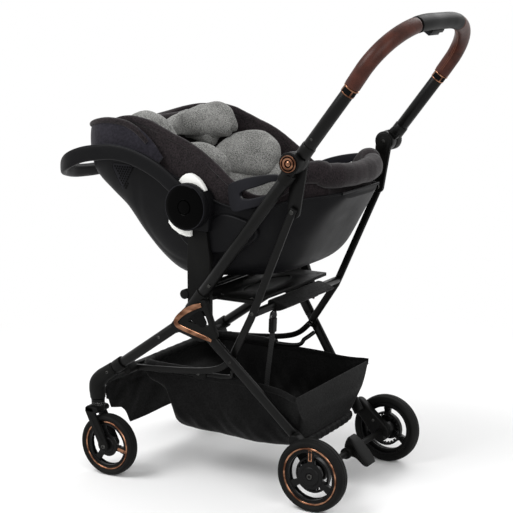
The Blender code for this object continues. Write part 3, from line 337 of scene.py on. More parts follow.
class Look(Enum):
    """The object's finishes, each with the record's material slot."""

    # Powder coat on aluminium tube: satin, a faint orange peel breaks its highlight
    TUBE = (Finish("powder_coated_tube", "#040404", "#0a0a09", (0.28, 0.40), grain_mm=1.6, bump=0.10,
                   specular=0.13), "frame_tube")
    # Glass-filled nylon from a spark-eroded mould: even fine pits, no clear reflection
    NYLON = (Finish("moulded_nylon", "#070707", "#0f0f0e", (0.42, 0.55), grain_mm=0.9, bump=0.25), "frame_plastic")
    # The same nylon in the wheels, a little smoother
    RIM = (Finish("moulded_rim", "#070707", "#0e0e0e", (0.32, 0.44), bump=0.15, specular=0.11), "rim_plastic")
    # Foamed rubber tread: dull, with a slight skin
    TYRE = (Finish("foam_rubber", "#0b0b0b", "#141413", (0.55, 0.7), grain_mm=1.2, bump=0.35, depth_mm=0.15), "tread")
    # Rose-gold plating on plastic: a mirror with a faint haze, with streaks of painted reflection in its colour
    COPPER = (Plated("rose_gold_plate", "#553728", "#9d735a", (0.07, 0.16), 1.0, 26.0, 0.03), "rim_plastic")
    # Brown imitation leather, embossed, worn smoother on its tops
    LEATHER = (Leatherette("brown_leatherette", "#29120b", "#45231a", (0.34, 0.46), grain_mm=1.3, bump=0.09,
                           depth_mm=0.10, specular=0.16), "grip_cover")
    # Polypropylene shell of the car seat: fine leather-like mould texture
    SHELL = (Finish("grained_shell", "#08080a", "#0f0f10", (0.40, 0.52), grain_mm=0.8, bump=0.25), "shell_plastic")
    # High-gloss black lens of the handle hubs
    GLOSS = (Finish("gloss_lens", "#010101", "#020202", (0.05, 0.08), grain_mm=8.0, bump=0.005, specular=0.03),
             "shell_plastic")
    # Dark grey moulded polypropylene of the belt guides
    GREY = (Finish("grey_polypropylene", "#131316", "#1b1b1f", (0.4, 0.52), grain_mm=0.9, bump=0.25), "grey_plastic")
    # White expanded foam of the liner, seen round the hubs
    WHITE = (Finish("white_foam", "#d8d8d4", "#efefec", (0.55, 0.7), grain_mm=2.2, bump=0.2), "grey_plastic")
    # Charcoal polyester cloth of the cover: two blacks and a purple-grey thread; drawn coarser than its 0.3 mm threads
    CHARCOAL = (Heather("charcoal_heather", "#0b090a", "#2b2527", (0.75, 0.92), grain_mm=3.4, bump=0.4, depth_mm=0.5,
                        sheen=0.12, run=(1.0, 2.6, 1.0)), "cover_fabric")
    # Light grey jersey of the insert: black and white fibres, drawn coarser than the real 0.4 mm so that they show
    MELANGE = (Heather("grey_melange", "#2d2d2c", "#9b9b98", (0.8, 0.95), grain_mm=2.2, bump=0.5, depth_mm=0.6,
                       sheen=0.15, contrast=(0.33, 0.67)), "insert_fabric")
    # Slate plain weave of the hood: close and even
    SLATE = (Heather("slate_weave", "#17161b", "#26242b", (0.7, 0.85), grain_mm=5.0, bump=0.25, depth_mm=0.3,
                     sheen=0.1), "canopy_fabric")
    # Coated polyester of the basket: nearly black, with soft sheen on its folds
    BASKET = (Heather("basket_polyester", "#010101", "#0b0b0b", (0.55, 0.75), grain_mm=4.0, bump=0.3, depth_mm=0.4,
                      sheen=0.03), "basket_fabric")
    # Polyester webbing with ribs 2 mm apart, near the real pitch
    WEB = (Webbing("ribbed_webbing", "#0d0d0d", "#222222", (0.6, 0.8), grain_mm=2.0, bump=0.6, depth_mm=0.4),
           "webbing")
    # Thread of the seams on the grips
    THREAD = (Finish("waxed_thread", "#5c3a2e", "#7c5344", (0.5, 0.65), grain_mm=0.6, bump=0.3), "grip_cover")
    # Blackened steel screws and rivets
    STEEL = (Finish("blackened_steel", "#2c2c2b", "#4a4a48", (0.14, 0.24), 1.0, 1.2, 0.1), "frame_tube")
    # Bright bare steel in the recess of a screw
    BRIGHT = (Finish("bare_steel", "#9a9a98", "#c6c6c4", (0.2, 0.3), 1.0, 1.2, 0.1), "frame_tube")
    # Painted shade: flat black that stands for the shadow inside a vent, slot, window or small hole, which takes no
    # light
    PIT = (Finish("painted_shade_black", "#020202", "#050505", (0.85, 0.95), grain_mm=1.5, bump=0.05, specular=0.1),
           "shell_plastic")
    # Red release button
    RED = (Finish("red_button", "#8e1616", "#b02020", (0.25, 0.35), grain_mm=1.5, bump=0.05), "buckle_red")

    @property
    def material(self) -> Material:
        """The Blender material, built at its first use."""
        finish = self.value[0]
        return bpy.data.materials.get(finish.name) or finish.build()

    @property
    def slot(self) -> str:
        """The record's material slot."""
        return self.value[1]


# Mesh tools


def linked(name: str, mesh: bpy.types.Mesh) -> Object:
    """New object for a mesh, linked to the scene."""
    obj = bpy.data.objects.new(name, mesh)
    bpy.context.scene.collection.objects.link(obj)
    return obj


def make(name: str, verts: Sequence[Sequence[float]], faces: Sequence[Sequence[int]],
         charts: Sequence[Vec2] | None = None, weld: bool = True) -> Object:
    """Makes a mesh object with outward faces.

    Args:
        name: name of the object and its mesh.
        verts: points in the maker's frame.
        faces: rings of point numbers.
        charts: one UV pair for each face corner, in metres.
        weld: whether points that coincide are merged.

    Returns:
        The object.
    """
    mesh = bpy.data.meshes.new(name)
    mesh.from_pydata([tuple(float(c) for c in v) for v in verts], [], [tuple(f) for f in faces])
    if charts is not None:
        layer = mesh.uv_layers.new(name="UVMap")
        layer.data.foreach_set("uv", np.asarray(charts, np.float32).ravel())
    bm = bmesh.new()
    bm.from_mesh(mesh)
    if weld:
        bmesh.ops.remove_doubles(bm, verts=bm.verts, dist=1e-6)
    bmesh.ops.recalc_face_normals(bm, faces=bm.faces)
    bm.to_mesh(mesh)
    bm.free()
    return linked(name, mesh)


def bake(obj: Object) -> Object:
    """Turns an object's modifiers into plain mesh and removes them."""
    graph = bpy.context.evaluated_depsgraph_get()
    mesh = bpy.data.meshes.new_from_object(obj.evaluated_get(graph))
    obj.modifiers.clear()
    obj.data = mesh
    return obj


def shade(obj: Object, angle: float = 34.0) -> Object:
    """Smooth shading with edges sharper than an angle in degrees left crisp."""
    obj.data.shade_smooth()
    obj.data.set_sharp_from_angle(angle=math.radians(angle))
    return obj


def soften(obj: Object, width: float, angle: float = 40.0, segments: int = 2) -> Object:
    """Rounds the edges of a hard piece.

    Args:
        obj: the piece.
        width: bevel width in metres.
        angle: edges sharper than this many degrees are rounded.
        segments: number of faces across the rounding.

    Returns:
        The same object with plain mesh.
    """
    bevel = obj.modifiers.new("edge", "BEVEL")
    bevel.width, bevel.segments, bevel.limit_method = width, segments, "ANGLE"
    bevel.angle_limit, bevel.harden_normals = math.radians(angle), False
    return shade(bake(obj))


def combine(first: Object, others: Iterable[Object], operation: str = "UNION") -> Object:
    """Joins or cuts the first object by the others.

    Args:
        first: the piece that stays.
        others: the pieces that are used up.
        operation: UNION or DIFFERENCE.

    Returns:
        The first object with its new mesh.
    """
    others = list(others)
    for other in others:
        step = first.modifiers.new("step", "BOOLEAN")
        step.operation, step.object, step.solver = operation, other, "EXACT"
    bake(first)
    for other in others:
        bpy.data.objects.remove(other)
    bm = bmesh.new()
    bm.from_mesh(first.data)
    bmesh.ops.remove_doubles(bm, verts=bm.verts, dist=2e-5)
    bmesh.ops.dissolve_limit(bm, angle_limit=0.02, verts=bm.verts, edges=bm.edges)
    bm.to_mesh(first.data)
    bm.free()
    return first


def join(name: str, parts: Sequence[Object]) -> Object:
    """Gathers separate closed shells in one object, keeping their shading."""
    bm = bmesh.new()
    for part in parts:
        bm.from_mesh(part.data)
    mesh = bpy.data.meshes.new(name)
    bm.to_mesh(mesh)
    bm.free()
    for part in parts:
        bpy.data.objects.remove(part)
    return shade(linked(name, mesh))


def spline(points: Sequence[Sequence[float]], count: int, closed: bool = False) -> np.ndarray:
    """Smooth curve through rows of numbers, sampled evenly along its length.

    Args:
        points: rows whose first three columns are a position; further columns are carried along.
        count: number of rows wanted.
        closed: whether the curve returns to its start.

    Returns:
        The sampled rows.
    """
    rows = np.asarray(points, float)
    n = len(rows)
    spans = n if closed else n - 1
    fine = []
    for i in range(spans):
        if closed:
            p0, p1, p2, p3 = (rows[(i + k) % n] for k in (-1, 0, 1, 2))
        else:
            p0, p1, p2, p3 = rows[max(i - 1, 0)], rows[i], rows[i + 1], rows[min(i + 2, n - 1)]
        for t in np.linspace(0, 1, 16, endpoint=False):
            fine.append(0.5 * (2 * p1 + (p2 - p0) * t + (2 * p0 - 5 * p1 + 4 * p2 - p3) * t ** 2
                               + (3 * p1 - p0 - 3 * p2 + p3) * t ** 3))
    fine.append(rows[0] if closed else rows[-1])
    line = np.array(fine)
    travel = np.concatenate([[0], np.cumsum(np.linalg.norm(np.diff(line[:, :3], axis=0), axis=1))])
    wanted = np.linspace(0, travel[-1], count + (1 if closed else 0))
    result = np.stack([np.interp(wanted, travel, line[:, c]) for c in range(line.shape[1])], axis=1)
    return result[:-1] if closed else result


def displaced(obj: Object, move: Callable[[np.ndarray], np.ndarray]) -> Object:
    """Moves a mesh's points by a function of their places."""
    mesh = obj.data
    co = np.empty(len(mesh.vertices) * 3, np.float32)
    mesh.vertices.foreach_get("co", co)
    mesh.vertices.foreach_set("co", move(co.reshape(-1, 3)).astype(np.float32).ravel())
    mesh.update()
    return obj


def points_of(obj: Object) -> np.ndarray:
    """Coordinates of an object's mesh as rows of three."""
    spots = np.empty(len(obj.data.vertices) * 3, np.float32)
    obj.data.vertices.foreach_get("co", spots)
    return spots.reshape(-1, 3).astype(float)


def smooth_outline(points: Sequence[Vec2], count: int) -> list[Vec2]:
    """Closed smooth outline through (x, z) points."""
    return [tuple(p[:2]) for p in spline([(x, z, 0) for x, z in points], count, True)]


def mirrored(half: Sequence[Sequence[float]], middle: Sequence[Sequence[float]] = ()) -> list[Sequence[float]]:
    """Rows of one side, the rows of the middle and then the first ones again with Y turned over."""
    return [*half, *middle, *((x, -y, *rest) for x, y, *rest in reversed(half))]


def loft(name: str, rings: np.ndarray, closed: bool = False) -> Object:
    """Skin over rings of points, each ring closed on itself, with UVs in metres.

    Args:
        name: name of the object.
        rings: array of rings, points and coordinates.
        closed: whether the last ring joins the first; otherwise both ends are capped.

    Returns:
        The object.
    """
    count, size = rings.shape[:2]
    gaps = np.linalg.norm(np.diff(rings.mean(axis=1), axis=0), axis=1)
    along = np.concatenate([[0], np.cumsum(gaps), [gaps.sum() + (gaps.mean() if len(gaps) else 0)]])
    wrap = np.concatenate([rings[0], rings[0][:1]])
    around = np.concatenate([[0], np.cumsum(np.linalg.norm(np.diff(wrap, axis=0), axis=1))])
    faces, charts = [], []
    for i in range(count if closed else count - 1):
        j = (i + 1) % count
        for k in range(size):
            n = (k + 1) % size
            faces.append((i * size + k, i * size + n, j * size + n, j * size + k))
            charts += [(along[i], around[k]), (along[i], around[k + 1]), (along[i + 1], around[k + 1]),
                       (along[i + 1], around[k])]
    if not closed:
        for ring, order in ((0, range(size)), (count - 1, range(size - 1, -1, -1))):
            faces.append([ring * size + k for k in order])
            charts += [(0.0, 0.0)] * size
    return make(name, rings.reshape(-1, 3), faces, charts)


def sweep(name: str, path: Sequence[Sequence[float]], wide: float | Sequence[float], thin: float | Sequence[float],
          up: Vec3 = (0, 1, 0), ring: int = 24, power: float = 2.0, closed: bool = False) -> Object:
    """Sweeps an oval or a rounded oblong along a path.

    Args:
        name: name of the object.
        path: points of the centre line.
        wide: size along the up direction, one number or one for each point.
        thin: size across it.
        up: direction that the wide axis leans to.
        ring: points round the section.
        power: 2 is an oval; higher numbers are squarer.
        closed: whether the path is a loop.

    Returns:
        The object, smooth.
    """
    points = np.asarray(path, float)[:, :3]
    count = len(points)
    wides, thins = np.broadcast_to(wide, count), np.broadcast_to(thin, count)
    if closed:
        tangents = np.roll(points, -1, axis=0) - np.roll(points, 1, axis=0)
    else:
        tangents = np.gradient(points, axis=0)
    tangents /= np.linalg.norm(tangents, axis=1)[:, None]
    rise = np.asarray(up, float) - tangents * (tangents @ np.asarray(up, float))[:, None]
    rise /= np.linalg.norm(rise, axis=1)[:, None]
    side = np.cross(tangents, rise)
    angle = 2 * np.pi * (np.arange(ring) + 0.5) / ring
    c, s = np.cos(angle), np.sin(angle)
    u = np.sign(c) * np.abs(c) ** (2 / power) / 2
    v = np.sign(s) * np.abs(s) ** (2 / power) / 2
    rings = (points[:, None] + rise[:, None] * (u[None, :, None] * wides[:, None, None])
             + side[:, None] * (v[None, :, None] * thins[:, None, None]))
    return shade(loft(name, rings, closed), 50)


def rod(name: str, start: Vec3, end: Vec3, diameter: float, ring: int = 40, bevel: float = 0.0006) -> Object:
    """Round bar between two points with eased ends."""
    run = Vector(end) - Vector(start)
    up = (1, 0, 0) if abs(run.normalized().y) > 0.7 else (0, 1, 0)
    bar = sweep(name, [start, end], diameter, diameter, up, ring)
    return soften(bar, bevel, 60) if bevel else bar


def prism(name: str, outline: Sequence[Vec2], y0: float, y1: float, bevel: float = 0.0, segments: int = 2) -> Object:
    """Plate with an outline of (x, z) points between two Y values."""
    count = len(outline)
    verts = [(x, y0, z) for x, z in outline] + [(x, y1, z) for x, z in outline]
    faces: list[Sequence[int]] = [tuple(range(count)), tuple(range(2 * count - 1, count - 1, -1))]
    faces += [(i, (i + 1) % count, (i + 1) % count + count, i + count) for i in range(count)]
    obj = make(name, verts, faces)
    return soften(obj, bevel, 40, segments) if bevel else shade(obj)


def circle(x: float, z: float, radius: float, count: int = 48, first: float = 0.0, last: float = 360.0) -> list[Vec2]:
    """Points of a circle or an arc in the x-z plane; a whole circle leaves its last point out."""
    whole = abs(last - first) >= 360
    angles = np.radians(np.linspace(first, last, count, endpoint=not whole))
    return [(x + radius * math.cos(a), z + radius * math.sin(a)) for a in angles]


def disc(name: str, x: float, z: float, radius: float, y0: float, y1: float, bevel: float = 0.0008,
         count: int = 56) -> Object:
    """Round plate with its axis along Y."""
    return prism(name, circle(x, z, radius, count), y0, y1, bevel)


def capsule(start: Vec2, end: Vec2, r0: float, r1: float, steps: int = 20) -> list[Vec2]:
    """Outline round two circles."""
    a, b = Vector(start), Vector(end)
    angle = math.atan2(b.y - a.y, b.x - a.x)
    lean = math.acos((r0 - r1) / (b - a).length)
    first = [angle + lean + (2 * math.pi - 2 * lean) * k / steps for k in range(steps + 1)]
    second = [angle - lean + 2 * lean * k / steps for k in range(steps + 1)]
    return ([(a.x + r0 * math.cos(t), a.y + r0 * math.sin(t)) for t in first]
            + [(b.x + r1 * math.cos(t), b.y + r1 * math.sin(t)) for t in second])


def band(points: Sequence[Vec2], width: float) -> list[Vec2]:
    """Outline of a strip of even width along (x, z) points."""
    path = [Vector(p) for p in points]
    left, right = [], []
    for i, here in enumerate(path):
        run = path[min(i + 1, len(path) - 1)] - path[max(i - 1, 0)]
        side = Vector((-run.y, run.x)).normalized() * width / 2
        left.append(tuple(here + side))
        right.append(tuple(here - side))
    return left + right[::-1]


def rounded(outline: Sequence[Vec2], radius: float, steps: int = 6) -> list[Vec2]:
    """Outline with its corners rounded."""
    result, count = [], len(outline)
    for i, corner in enumerate(outline):
        here = Vector(corner)
        before, after = Vector(outline[i - 1]) - here, Vector(outline[(i + 1) % count]) - here
        half = before.angle(after) / 2
        cut = min(radius / math.tan(half), 0.45 * before.length, 0.45 * after.length)
        start, end = here + before.normalized() * cut, here + after.normalized() * cut
        for k in range(steps + 1):
            t = k / steps
            point = start * (1 - t) ** 2 + here * 2 * t * (1 - t) + end * t ** 2
            result.append((point.x, point.y))
    return result


def turned(name: str, profile: Sequence[Vec2], x: float, z: float, side: Side, count: int = 96) -> Object:
    """Turns a closed (radius, y) profile about an axis along Y; y counts outward on the side."""
    rows = np.asarray(profile, float)
    angles = 2 * np.pi * np.arange(count) / count
    rings = np.stack([x + np.outer(np.cos(angles), rows[:, 0]),
                      np.broadcast_to(side.sign * rows[:, 1], (count, len(rows))),
                      z + np.outer(np.sin(angles), rows[:, 0])], axis=2)
    return shade(loft(name, rings, True), 30)


def button(name: str, profile: Sequence[Vec2], x: float, z: float, side: Side, count: int = 64) -> Object:
    """Turns an open (radius, y) profile that starts and ends on the axis."""
    rows = [(max(r, 1e-5), y) for r, y in profile]
    angles = 2 * np.pi * np.arange(count) / count
    verts = [(x + r * math.cos(a), side.sign * y, z + r * math.sin(a)) for r, y in rows for a in angles]
    faces: list[Sequence[int]] = []
    for i in range(len(rows) - 1):
        for k in range(count):
            n = (k + 1) % count
            faces.append((i * count + k, i * count + n, (i + 1) * count + n, (i + 1) * count + k))
    faces.append(tuple(range(count)))
    faces.append(tuple(range(len(rows) * count - 1, (len(rows) - 1) * count - 1, -1)))
    obj = make(name, verts, faces, weld=False)
    return shade(obj, 30)


def bucket(name: str, outer: np.ndarray, inner: np.ndarray, columns: int, power: float) -> Object:
    """Closed tub through stations of (x, bottom z, rim z, half width at the rim, half width low down).

    Args:
        name: name of the object.
        outer: stations of the outside.
        inner: the same number of stations of the inside.
        columns: points across a section.
        power: squareness of the section.

    Returns:
        The object.
    """
    a = np.pi * np.arange(columns) / (columns - 1)
    c, s = np.cos(a), np.sin(a)
    drop = np.abs(s) ** (2 / power)
    reach = np.sign(c) * np.abs(c) ** (2 / power)
    drop[[0, -1]] = 0
    reach[0], reach[-1] = 1, -1
    skins = []
    for rows in (outer, inner):
        x, low, high, half, foot = (rows[:, k, None] for k in range(5))
        skins.append(np.stack([np.broadcast_to(x, (len(rows), columns)), reach * (half + (foot - half) * drop),
                               high - (high - low) * drop], axis=2))
    count, verts = len(outer), np.concatenate([skin.reshape(-1, 3) for skin in skins])

    def number(skin: int, i: int, k: int) -> int:
        """Number of a point of the outer or the inner skin."""
        return (skin * count + i) * columns + k

    faces: list[Sequence[int]] = []
    for skin in (0, 1):
        for i in range(count - 1):
            for k in range(columns - 1):
                faces.append((number(skin, i, k), number(skin, i, k + 1), number(skin, i + 1, k + 1),
                              number(skin, i + 1, k)))
    for i in range(count - 1):
        for k in (0, columns - 1):
            faces.append((number(0, i, k), number(0, i + 1, k), number(1, i + 1, k), number(1, i, k)))
    for i in (0, count - 1):
        for skin in (0, 1):
            faces.append([number(skin, i, k) for k in range(columns)])
        faces.append((number(0, i, 0), number(0, i, columns - 1), number(1, i, columns - 1), number(1, i, 0)))
    return shade(make(name, verts, faces))


def copy_of(node: str, name: str) -> Object:
    """Merged copy of a CAD node's mesh, in the maker's frame, with flat regions made whole."""
    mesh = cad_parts[node].data.copy()
    mesh.materials.clear()
    bm = bmesh.new()
    bm.from_mesh(mesh)
    bmesh.ops.translate(bm, verts=bm.verts, vec=(-SHIFT, 0, 0))
    bmesh.ops.remove_doubles(bm, verts=bm.verts, dist=1e-5)
    bmesh.ops.dissolve_limit(bm, angle_limit=0.03, verts=bm.verts, edges=bm.edges)
    bmesh.ops.recalc_face_normals(bm, faces=bm.faces)
    bm.to_mesh(mesh)
    bm.free()
    return linked(name, mesh)


def publish(obj: Object, name: str, body: str, look: Look, nodes: Sequence[str] = ()) -> Object:
    """Dresses a finished piece, moves it to the row frame and hands it to its body.

    Args:
        obj: the piece, in the maker's frame.
        name: the piece's name.
        body: the CAD body that it rides on.
        look: its finish.
        nodes: the CAD nodes that it stands for.

    Returns:
        The same object.
    """
    obj.name = obj.data.name = name
    obj.data.materials.clear()
    obj.data.materials.append(look.material)
    obj.data.transform(Matrix.Translation((SHIFT, 0, 0)))
    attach(obj, body)
    if nodes:
        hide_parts(*nodes)
    LOG.info("%s rides on %s: %d faces", name, body, len(obj.data.polygons))
    return obj


def refined(node: str, body: str, look: Look, bevel: float = 0.001, name: str = "", angle: float = 35.0) -> Object:
    """Publishes a CAD node's own shape with rounded edges.

    Args:
        node: the CAD node.
        body: the body that it rides on.
        look: its finish.
        bevel: width of the rounding in metres.
        name: name of the piece, or nothing for the node's own name.
        angle: edges sharper than this are rounded.

    Returns:
        The published piece.
    """
    obj = soften(copy_of(node, node), bevel, angle)
    return publish(obj, name or f"{node}_body", body, look, [node])


# Repeated small parts


def item_tree(name: str, row: bool) -> Tree:
    """Tree that sets an item at each place, in a finish and with uneven sizes.

    Args:
        name: the tree's name.
        row: whether the items follow the edges of a path at an even pitch, turned along it; otherwise
            they sit on the points of a mesh, turned and sized by its attributes.

    Returns:
        The tree.
    """
    tree = bpy.data.node_groups.new(name, "GeometryNodeTree")
    kinds = {"Geometry": "Geometry", "Item": "Object", "Finish": "Material", "Uneven": "Float", "Seed": "Int"}
    for key, kind in (kinds | ({"Pitch": "Float"} if row else {})).items():
        tree.interface.new_socket(key, in_out="INPUT", socket_type=f"NodeSocket{kind}")
    tree.interface.new_socket("Geometry", in_out="OUTPUT", socket_type="NodeSocketGeometry")
    given = add_node(tree, "NodeGroupInput").outputs
    item = add_node(tree, "GeometryNodeObjectInfo", None, {"Object": given["Item"]})
    chance = add_node(tree, "FunctionNodeRandomValue", {"data_type": "FLOAT"}, {2: -1.0, 3: 1.0, 8: given["Seed"]})
    size = add_node(tree, "ShaderNodeMath", {"operation": "MULTIPLY_ADD"},
                    {0: chance.outputs[1], 1: given["Uneven"], 2: 1.0})
    places = given["Geometry"]
    if row:
        line = add_node(tree, "GeometryNodeMeshToCurve", None, {0: places})
        places = add_node(tree, "GeometryNodeResampleCurve", {"mode": "LENGTH"},
                          {"Curve": line.outputs[0], "Length": given["Pitch"]}).outputs[0]
        run = add_node(tree, "GeometryNodeInputTangent")
        turn = add_node(tree, "FunctionNodeAlignRotationToVector", {"axis": "X"}, {"Vector": run.outputs[0]})
    else:
        turn = add_node(tree, "GeometryNodeInputNamedAttribute", {"data_type": "FLOAT_VECTOR"}, {0: "turn"})
        own = add_node(tree, "GeometryNodeInputNamedAttribute", {"data_type": "FLOAT"}, {0: "size"})
        size = add_node(tree, "ShaderNodeMath", {"operation": "MULTIPLY"}, {0: own.outputs[0], 1: size.outputs[0]})
    copies = add_node(tree, "GeometryNodeInstanceOnPoints", None,
                      {"Points": places, "Instance": item.outputs["Geometry"], "Rotation": turn.outputs[0],
                       "Scale": size.outputs[0]})
    real = add_node(tree, "GeometryNodeRealizeInstances", None, {0: copies.outputs[0]})
    dressed = add_node(tree, "GeometryNodeSetMaterial", None,
                       {"Geometry": real.outputs[0], "Material": given["Finish"]})
    add_node(tree, "NodeGroupOutput", None, {0: dressed.outputs[0]})
    return tree


def run_tree(obj: Object, tree: Tree, values: dict[str, Any]) -> Object:
    """Runs a tree on an object with named inputs and keeps the result as plain mesh."""
    step = obj.modifiers.new("repeat", "NODES")
    step.node_group = tree
    sockets = {s.name: s.identifier for s in tree.interface.items_tree if s.in_out == "INPUT"}
    for key, value in values.items():
        step[sockets[key]] = value
    return bake(obj)


@dataclass(frozen=True)
class Spot:
    """Place of one small part.

    Attributes:
        where: its point in the maker's frame.
        facing: the direction that its head looks.
        size: factor on the item's size.
    """

    where: Vec3
    facing: Vec3
    size: float = 1.0


class Fitting(Enum):
    """Small parts that are set in numbers."""

    RIVET = "rivet"
    SCREW = "screw"
    HEX = "hex"
    DOT = "dot"
    TOOTH = "tooth"
    STITCH = "stitch"
    RIB = "rib"


def fitting(kind: Fitting) -> Object:
    """Models one small part at the origin with its head along +Z, of 1 mm radius or, for rows, along X."""
    if kind in (Fitting.STITCH, Fitting.RIB):
        half = 0.0016 if kind is Fitting.STITCH else 0.0009
        width = 0.0009 if kind is Fitting.STITCH else 0.0013
        path = [(-half, 0, 0), (-half * 0.5, 0, width * 0.35), (half * 0.5, 0, width * 0.35), (half, 0, 0)]
        obj = sweep(kind.value, spline(path, 7), width, width, (0, 1, 0), 8)
    else:
        rows = {Fitting.RIVET: [(0, -1.0), (1, -1.0), (1, 0.12), (0.93, 0.28), (0.78, 0.38), (0.55, 0.40),
                                (0.5, 0.22), (0, 0.2)],
                Fitting.SCREW: [(0, -1.0), (1, -1.0), (1, 0.2), (0.9, 0.36), (0.5, 0.38), (0.46, 0.1), (0, 0.1)],
                Fitting.HEX: [(0, -0.3), (1, -0.3), (1, 0.05), (0.9, 0.1), (0, 0.1)],
                Fitting.DOT: [(0, -0.3), (1, -0.3), (1, 0.0), (0.7, 0.2), (0, 0.25)],
                Fitting.TOOTH: [(0, -1.0), (1, -1.0), (1, 0.8), (0.75, 1.0), (0, 1.0)]}[kind]
        count = {Fitting.HEX: 6, Fitting.TOOTH: 4, Fitting.DOT: 10}.get(kind, 24)
        obj = button(kind.value, [(r / 1000, y / 1000) for r, y in rows], 0, 0, Side.RIGHT, count)
        obj.data.transform(Matrix.Rotation(math.radians(90), 4, "X"))
        if kind is Fitting.RIVET:
            shade(obj, 60)
    bpy.context.scene.collection.objects.unlink(obj)
    return obj


class Sower:
    """Sets small parts with the two trees."""

    def __init__(self) -> None:
        """Builds the trees and the items once."""
        self.spots, self.row = item_tree("Items on spots", False), item_tree("Items in a row", True)
        self.items = {kind: fitting(kind) for kind in Fitting}

    def scatter(self, name: str, kind: Fitting, places: Sequence[Spot], body: str, look: Look,
                uneven: float = 0.0) -> Object:
        """Sets an item on each spot and publishes them as one piece.

        Args:
            name: name of the piece.
            kind: the item.
            places: where the items sit.
            body: body that they ride on.
            look: their finish.
            uneven: random share added to or taken from each size.

        Returns:
            The published piece.
        """
        obj = make(name, [p.where for p in places], [], weld=False)
        obj.data.attributes.new("turn", "FLOAT_VECTOR", "POINT")
        obj.data.attributes.new("size", "FLOAT", "POINT")
        turn, size = (obj.data.attributes[key] for key in ("turn", "size"))
        for i, place in enumerate(places):
            turn.data[i].vector = Vector(place.facing).to_track_quat("Z", "X").to_euler()
            size.data[i].value = place.size
        run_tree(obj, self.spots, {"Item": self.items[kind], "Finish": look.material, "Uneven": uneven, "Seed": 7})
        return publish(obj, name, body, look)

    def line(self, name: str, kind: Fitting, path: Sequence[Vec3], pitch: float, body: str, look: Look,
             uneven: float = 0.06) -> Object:
        """Sets an item at an even pitch along a path and publishes them as one piece."""
        mesh = bpy.data.meshes.new(name)
        mesh.from_pydata([tuple(map(float, p)) for p in path], [(i, i + 1) for i in range(len(path) - 1)], [])
        obj = linked(name, mesh)
        run_tree(obj, self.row, {"Item": self.items[kind], "Finish": look.material, "Pitch": pitch,
                                 "Uneven": uneven, "Seed": 3})
        return publish(obj, name, body, look)


# The frame's lines, in the maker's frame

SHELL_W = 0.189
TUBE_Y = SHELL_W + 0.0275
TUBE_D, HANDLE_D, TILT = 0.0258, 0.0275, 52.4
HINGE: Vec2 = (-0.0266, 0.738)
HINGE_R, KNUCKLE_W, PLATE_T = 0.0227, 0.023, 0.005
SOCKET_FROM, SOCKET_TO = 0.0245, 0.048
GAP = 0.0003
PIN_R = 0.005
GRIP_TILT, REACH = 55.0, 0.151
PIVOT: Vec2 = (-0.2435, 0.3600)
BRACKET_PIN: Vec2 = (-0.0393, 0.6344)
STRUT_END: Vec2 = (-0.1965, 0.3040)
CROSS: Vec2 = (-0.1368, 0.4101)
JOINT_Y = TUBE_Y + GAP
REAR_W, REAR_T = 0.0235, 0.0137
LEG_Y = JOINT_Y - GAP * 2 - REAR_T / 2
PLATE_Y = TUBE_Y - KNUCKLE_W + PLATE_T / 2
STRUT_T = 0.008
STRUT_Y = PLATE_Y + PLATE_T / 2 + GAP + STRUT_T / 2
FRONT_LEG: tuple[Vec2, Vec2] = ((-0.3167, 0.3632), (-0.4757, 0.2515))
REAR_R, REAR_HUB_Y = 0.0782, TUBE_Y - 0.0351
FRONT_R, FRONT_X = 0.0701, -0.497
SWIVEL: Vec2 = (-0.526, 0.173)
HUB: Vec2 = (-0.280, 0.628)
SLOPE: Vec3 = (math.sin(math.radians(GRIP_TILT)), 0.0, -math.cos(math.radians(GRIP_TILT)))
CROSS_Y = TUBE_Y - 0.0225
HUB_FACE = REAR_HUB_Y - 0.0165
CAP_Y = TUBE_Y + 0.0272
POST_Y = TUBE_Y - TUBE_D / 2 - 0.002 - GAP
POST_T = 0.012
BASKET_TUBE_Y, BASKET_TUBE_Z = 0.1525, 0.2493


def along(start: Vec2, angle: float, distance: float) -> Vec2:
    """Point (x, z) at a distance from another in a direction given in degrees."""
    a = math.radians(angle)
    return start[0] + distance * math.cos(a), start[1] + distance * math.sin(a)


ON_TUBE = along(HINGE, TILT - 90, 0.005)


def tube_point(z: float) -> Vec2:
    """Point (x, z) on the centre line of the side tubes."""
    return ON_TUBE[0] + (z - ON_TUBE[1]) / math.tan(math.radians(TILT)), z


def leg_line(d: float) -> Vec3:
    """Point of the rear leg's centre line as (x, distance from the middle, z)."""
    run = Vector((0.1641, -0.0602 * 1.045, -0.2000)).normalized()
    return PIVOT[0] + run.x * d, LEG_Y + run.y * d, PIVOT[1] + run.z * d


def strut_foot() -> float:
    """Distance of a strut's foot from the middle plane."""
    return leg_line(math.dist(STRUT_END, PIVOT) + 0.014)[1] - REAR_T / 2 - GAP - STRUT_T / 2


def handle_path(t: float) -> Vec3:
    """Point of the push handle's centre line, t from 0 at the left collar to 1 at the right one."""
    width, a, b = TUBE_Y + 0.0015, 0.18, 0.12
    u = (1 - abs(2 * t - 1)) * math.pi / 2
    y = (width - a) + a * max(math.cos(u), 0.0) ** (2 / 2.2)
    s = (REACH - b) + b * math.sin(u) ** (2 / 2.2)
    if u > math.pi / 2 - 1e-6:
        y, s = width - a, REACH
    x, z = along(along(ON_TUBE, TILT, 0.194), GRIP_TILT, s)
    return x, math.copysign(y, t - 0.5), z


def at(point: Vec2, y: float) -> Vec3:
    """An (x, z) point at a Y value."""
    return point[0], y, point[1]


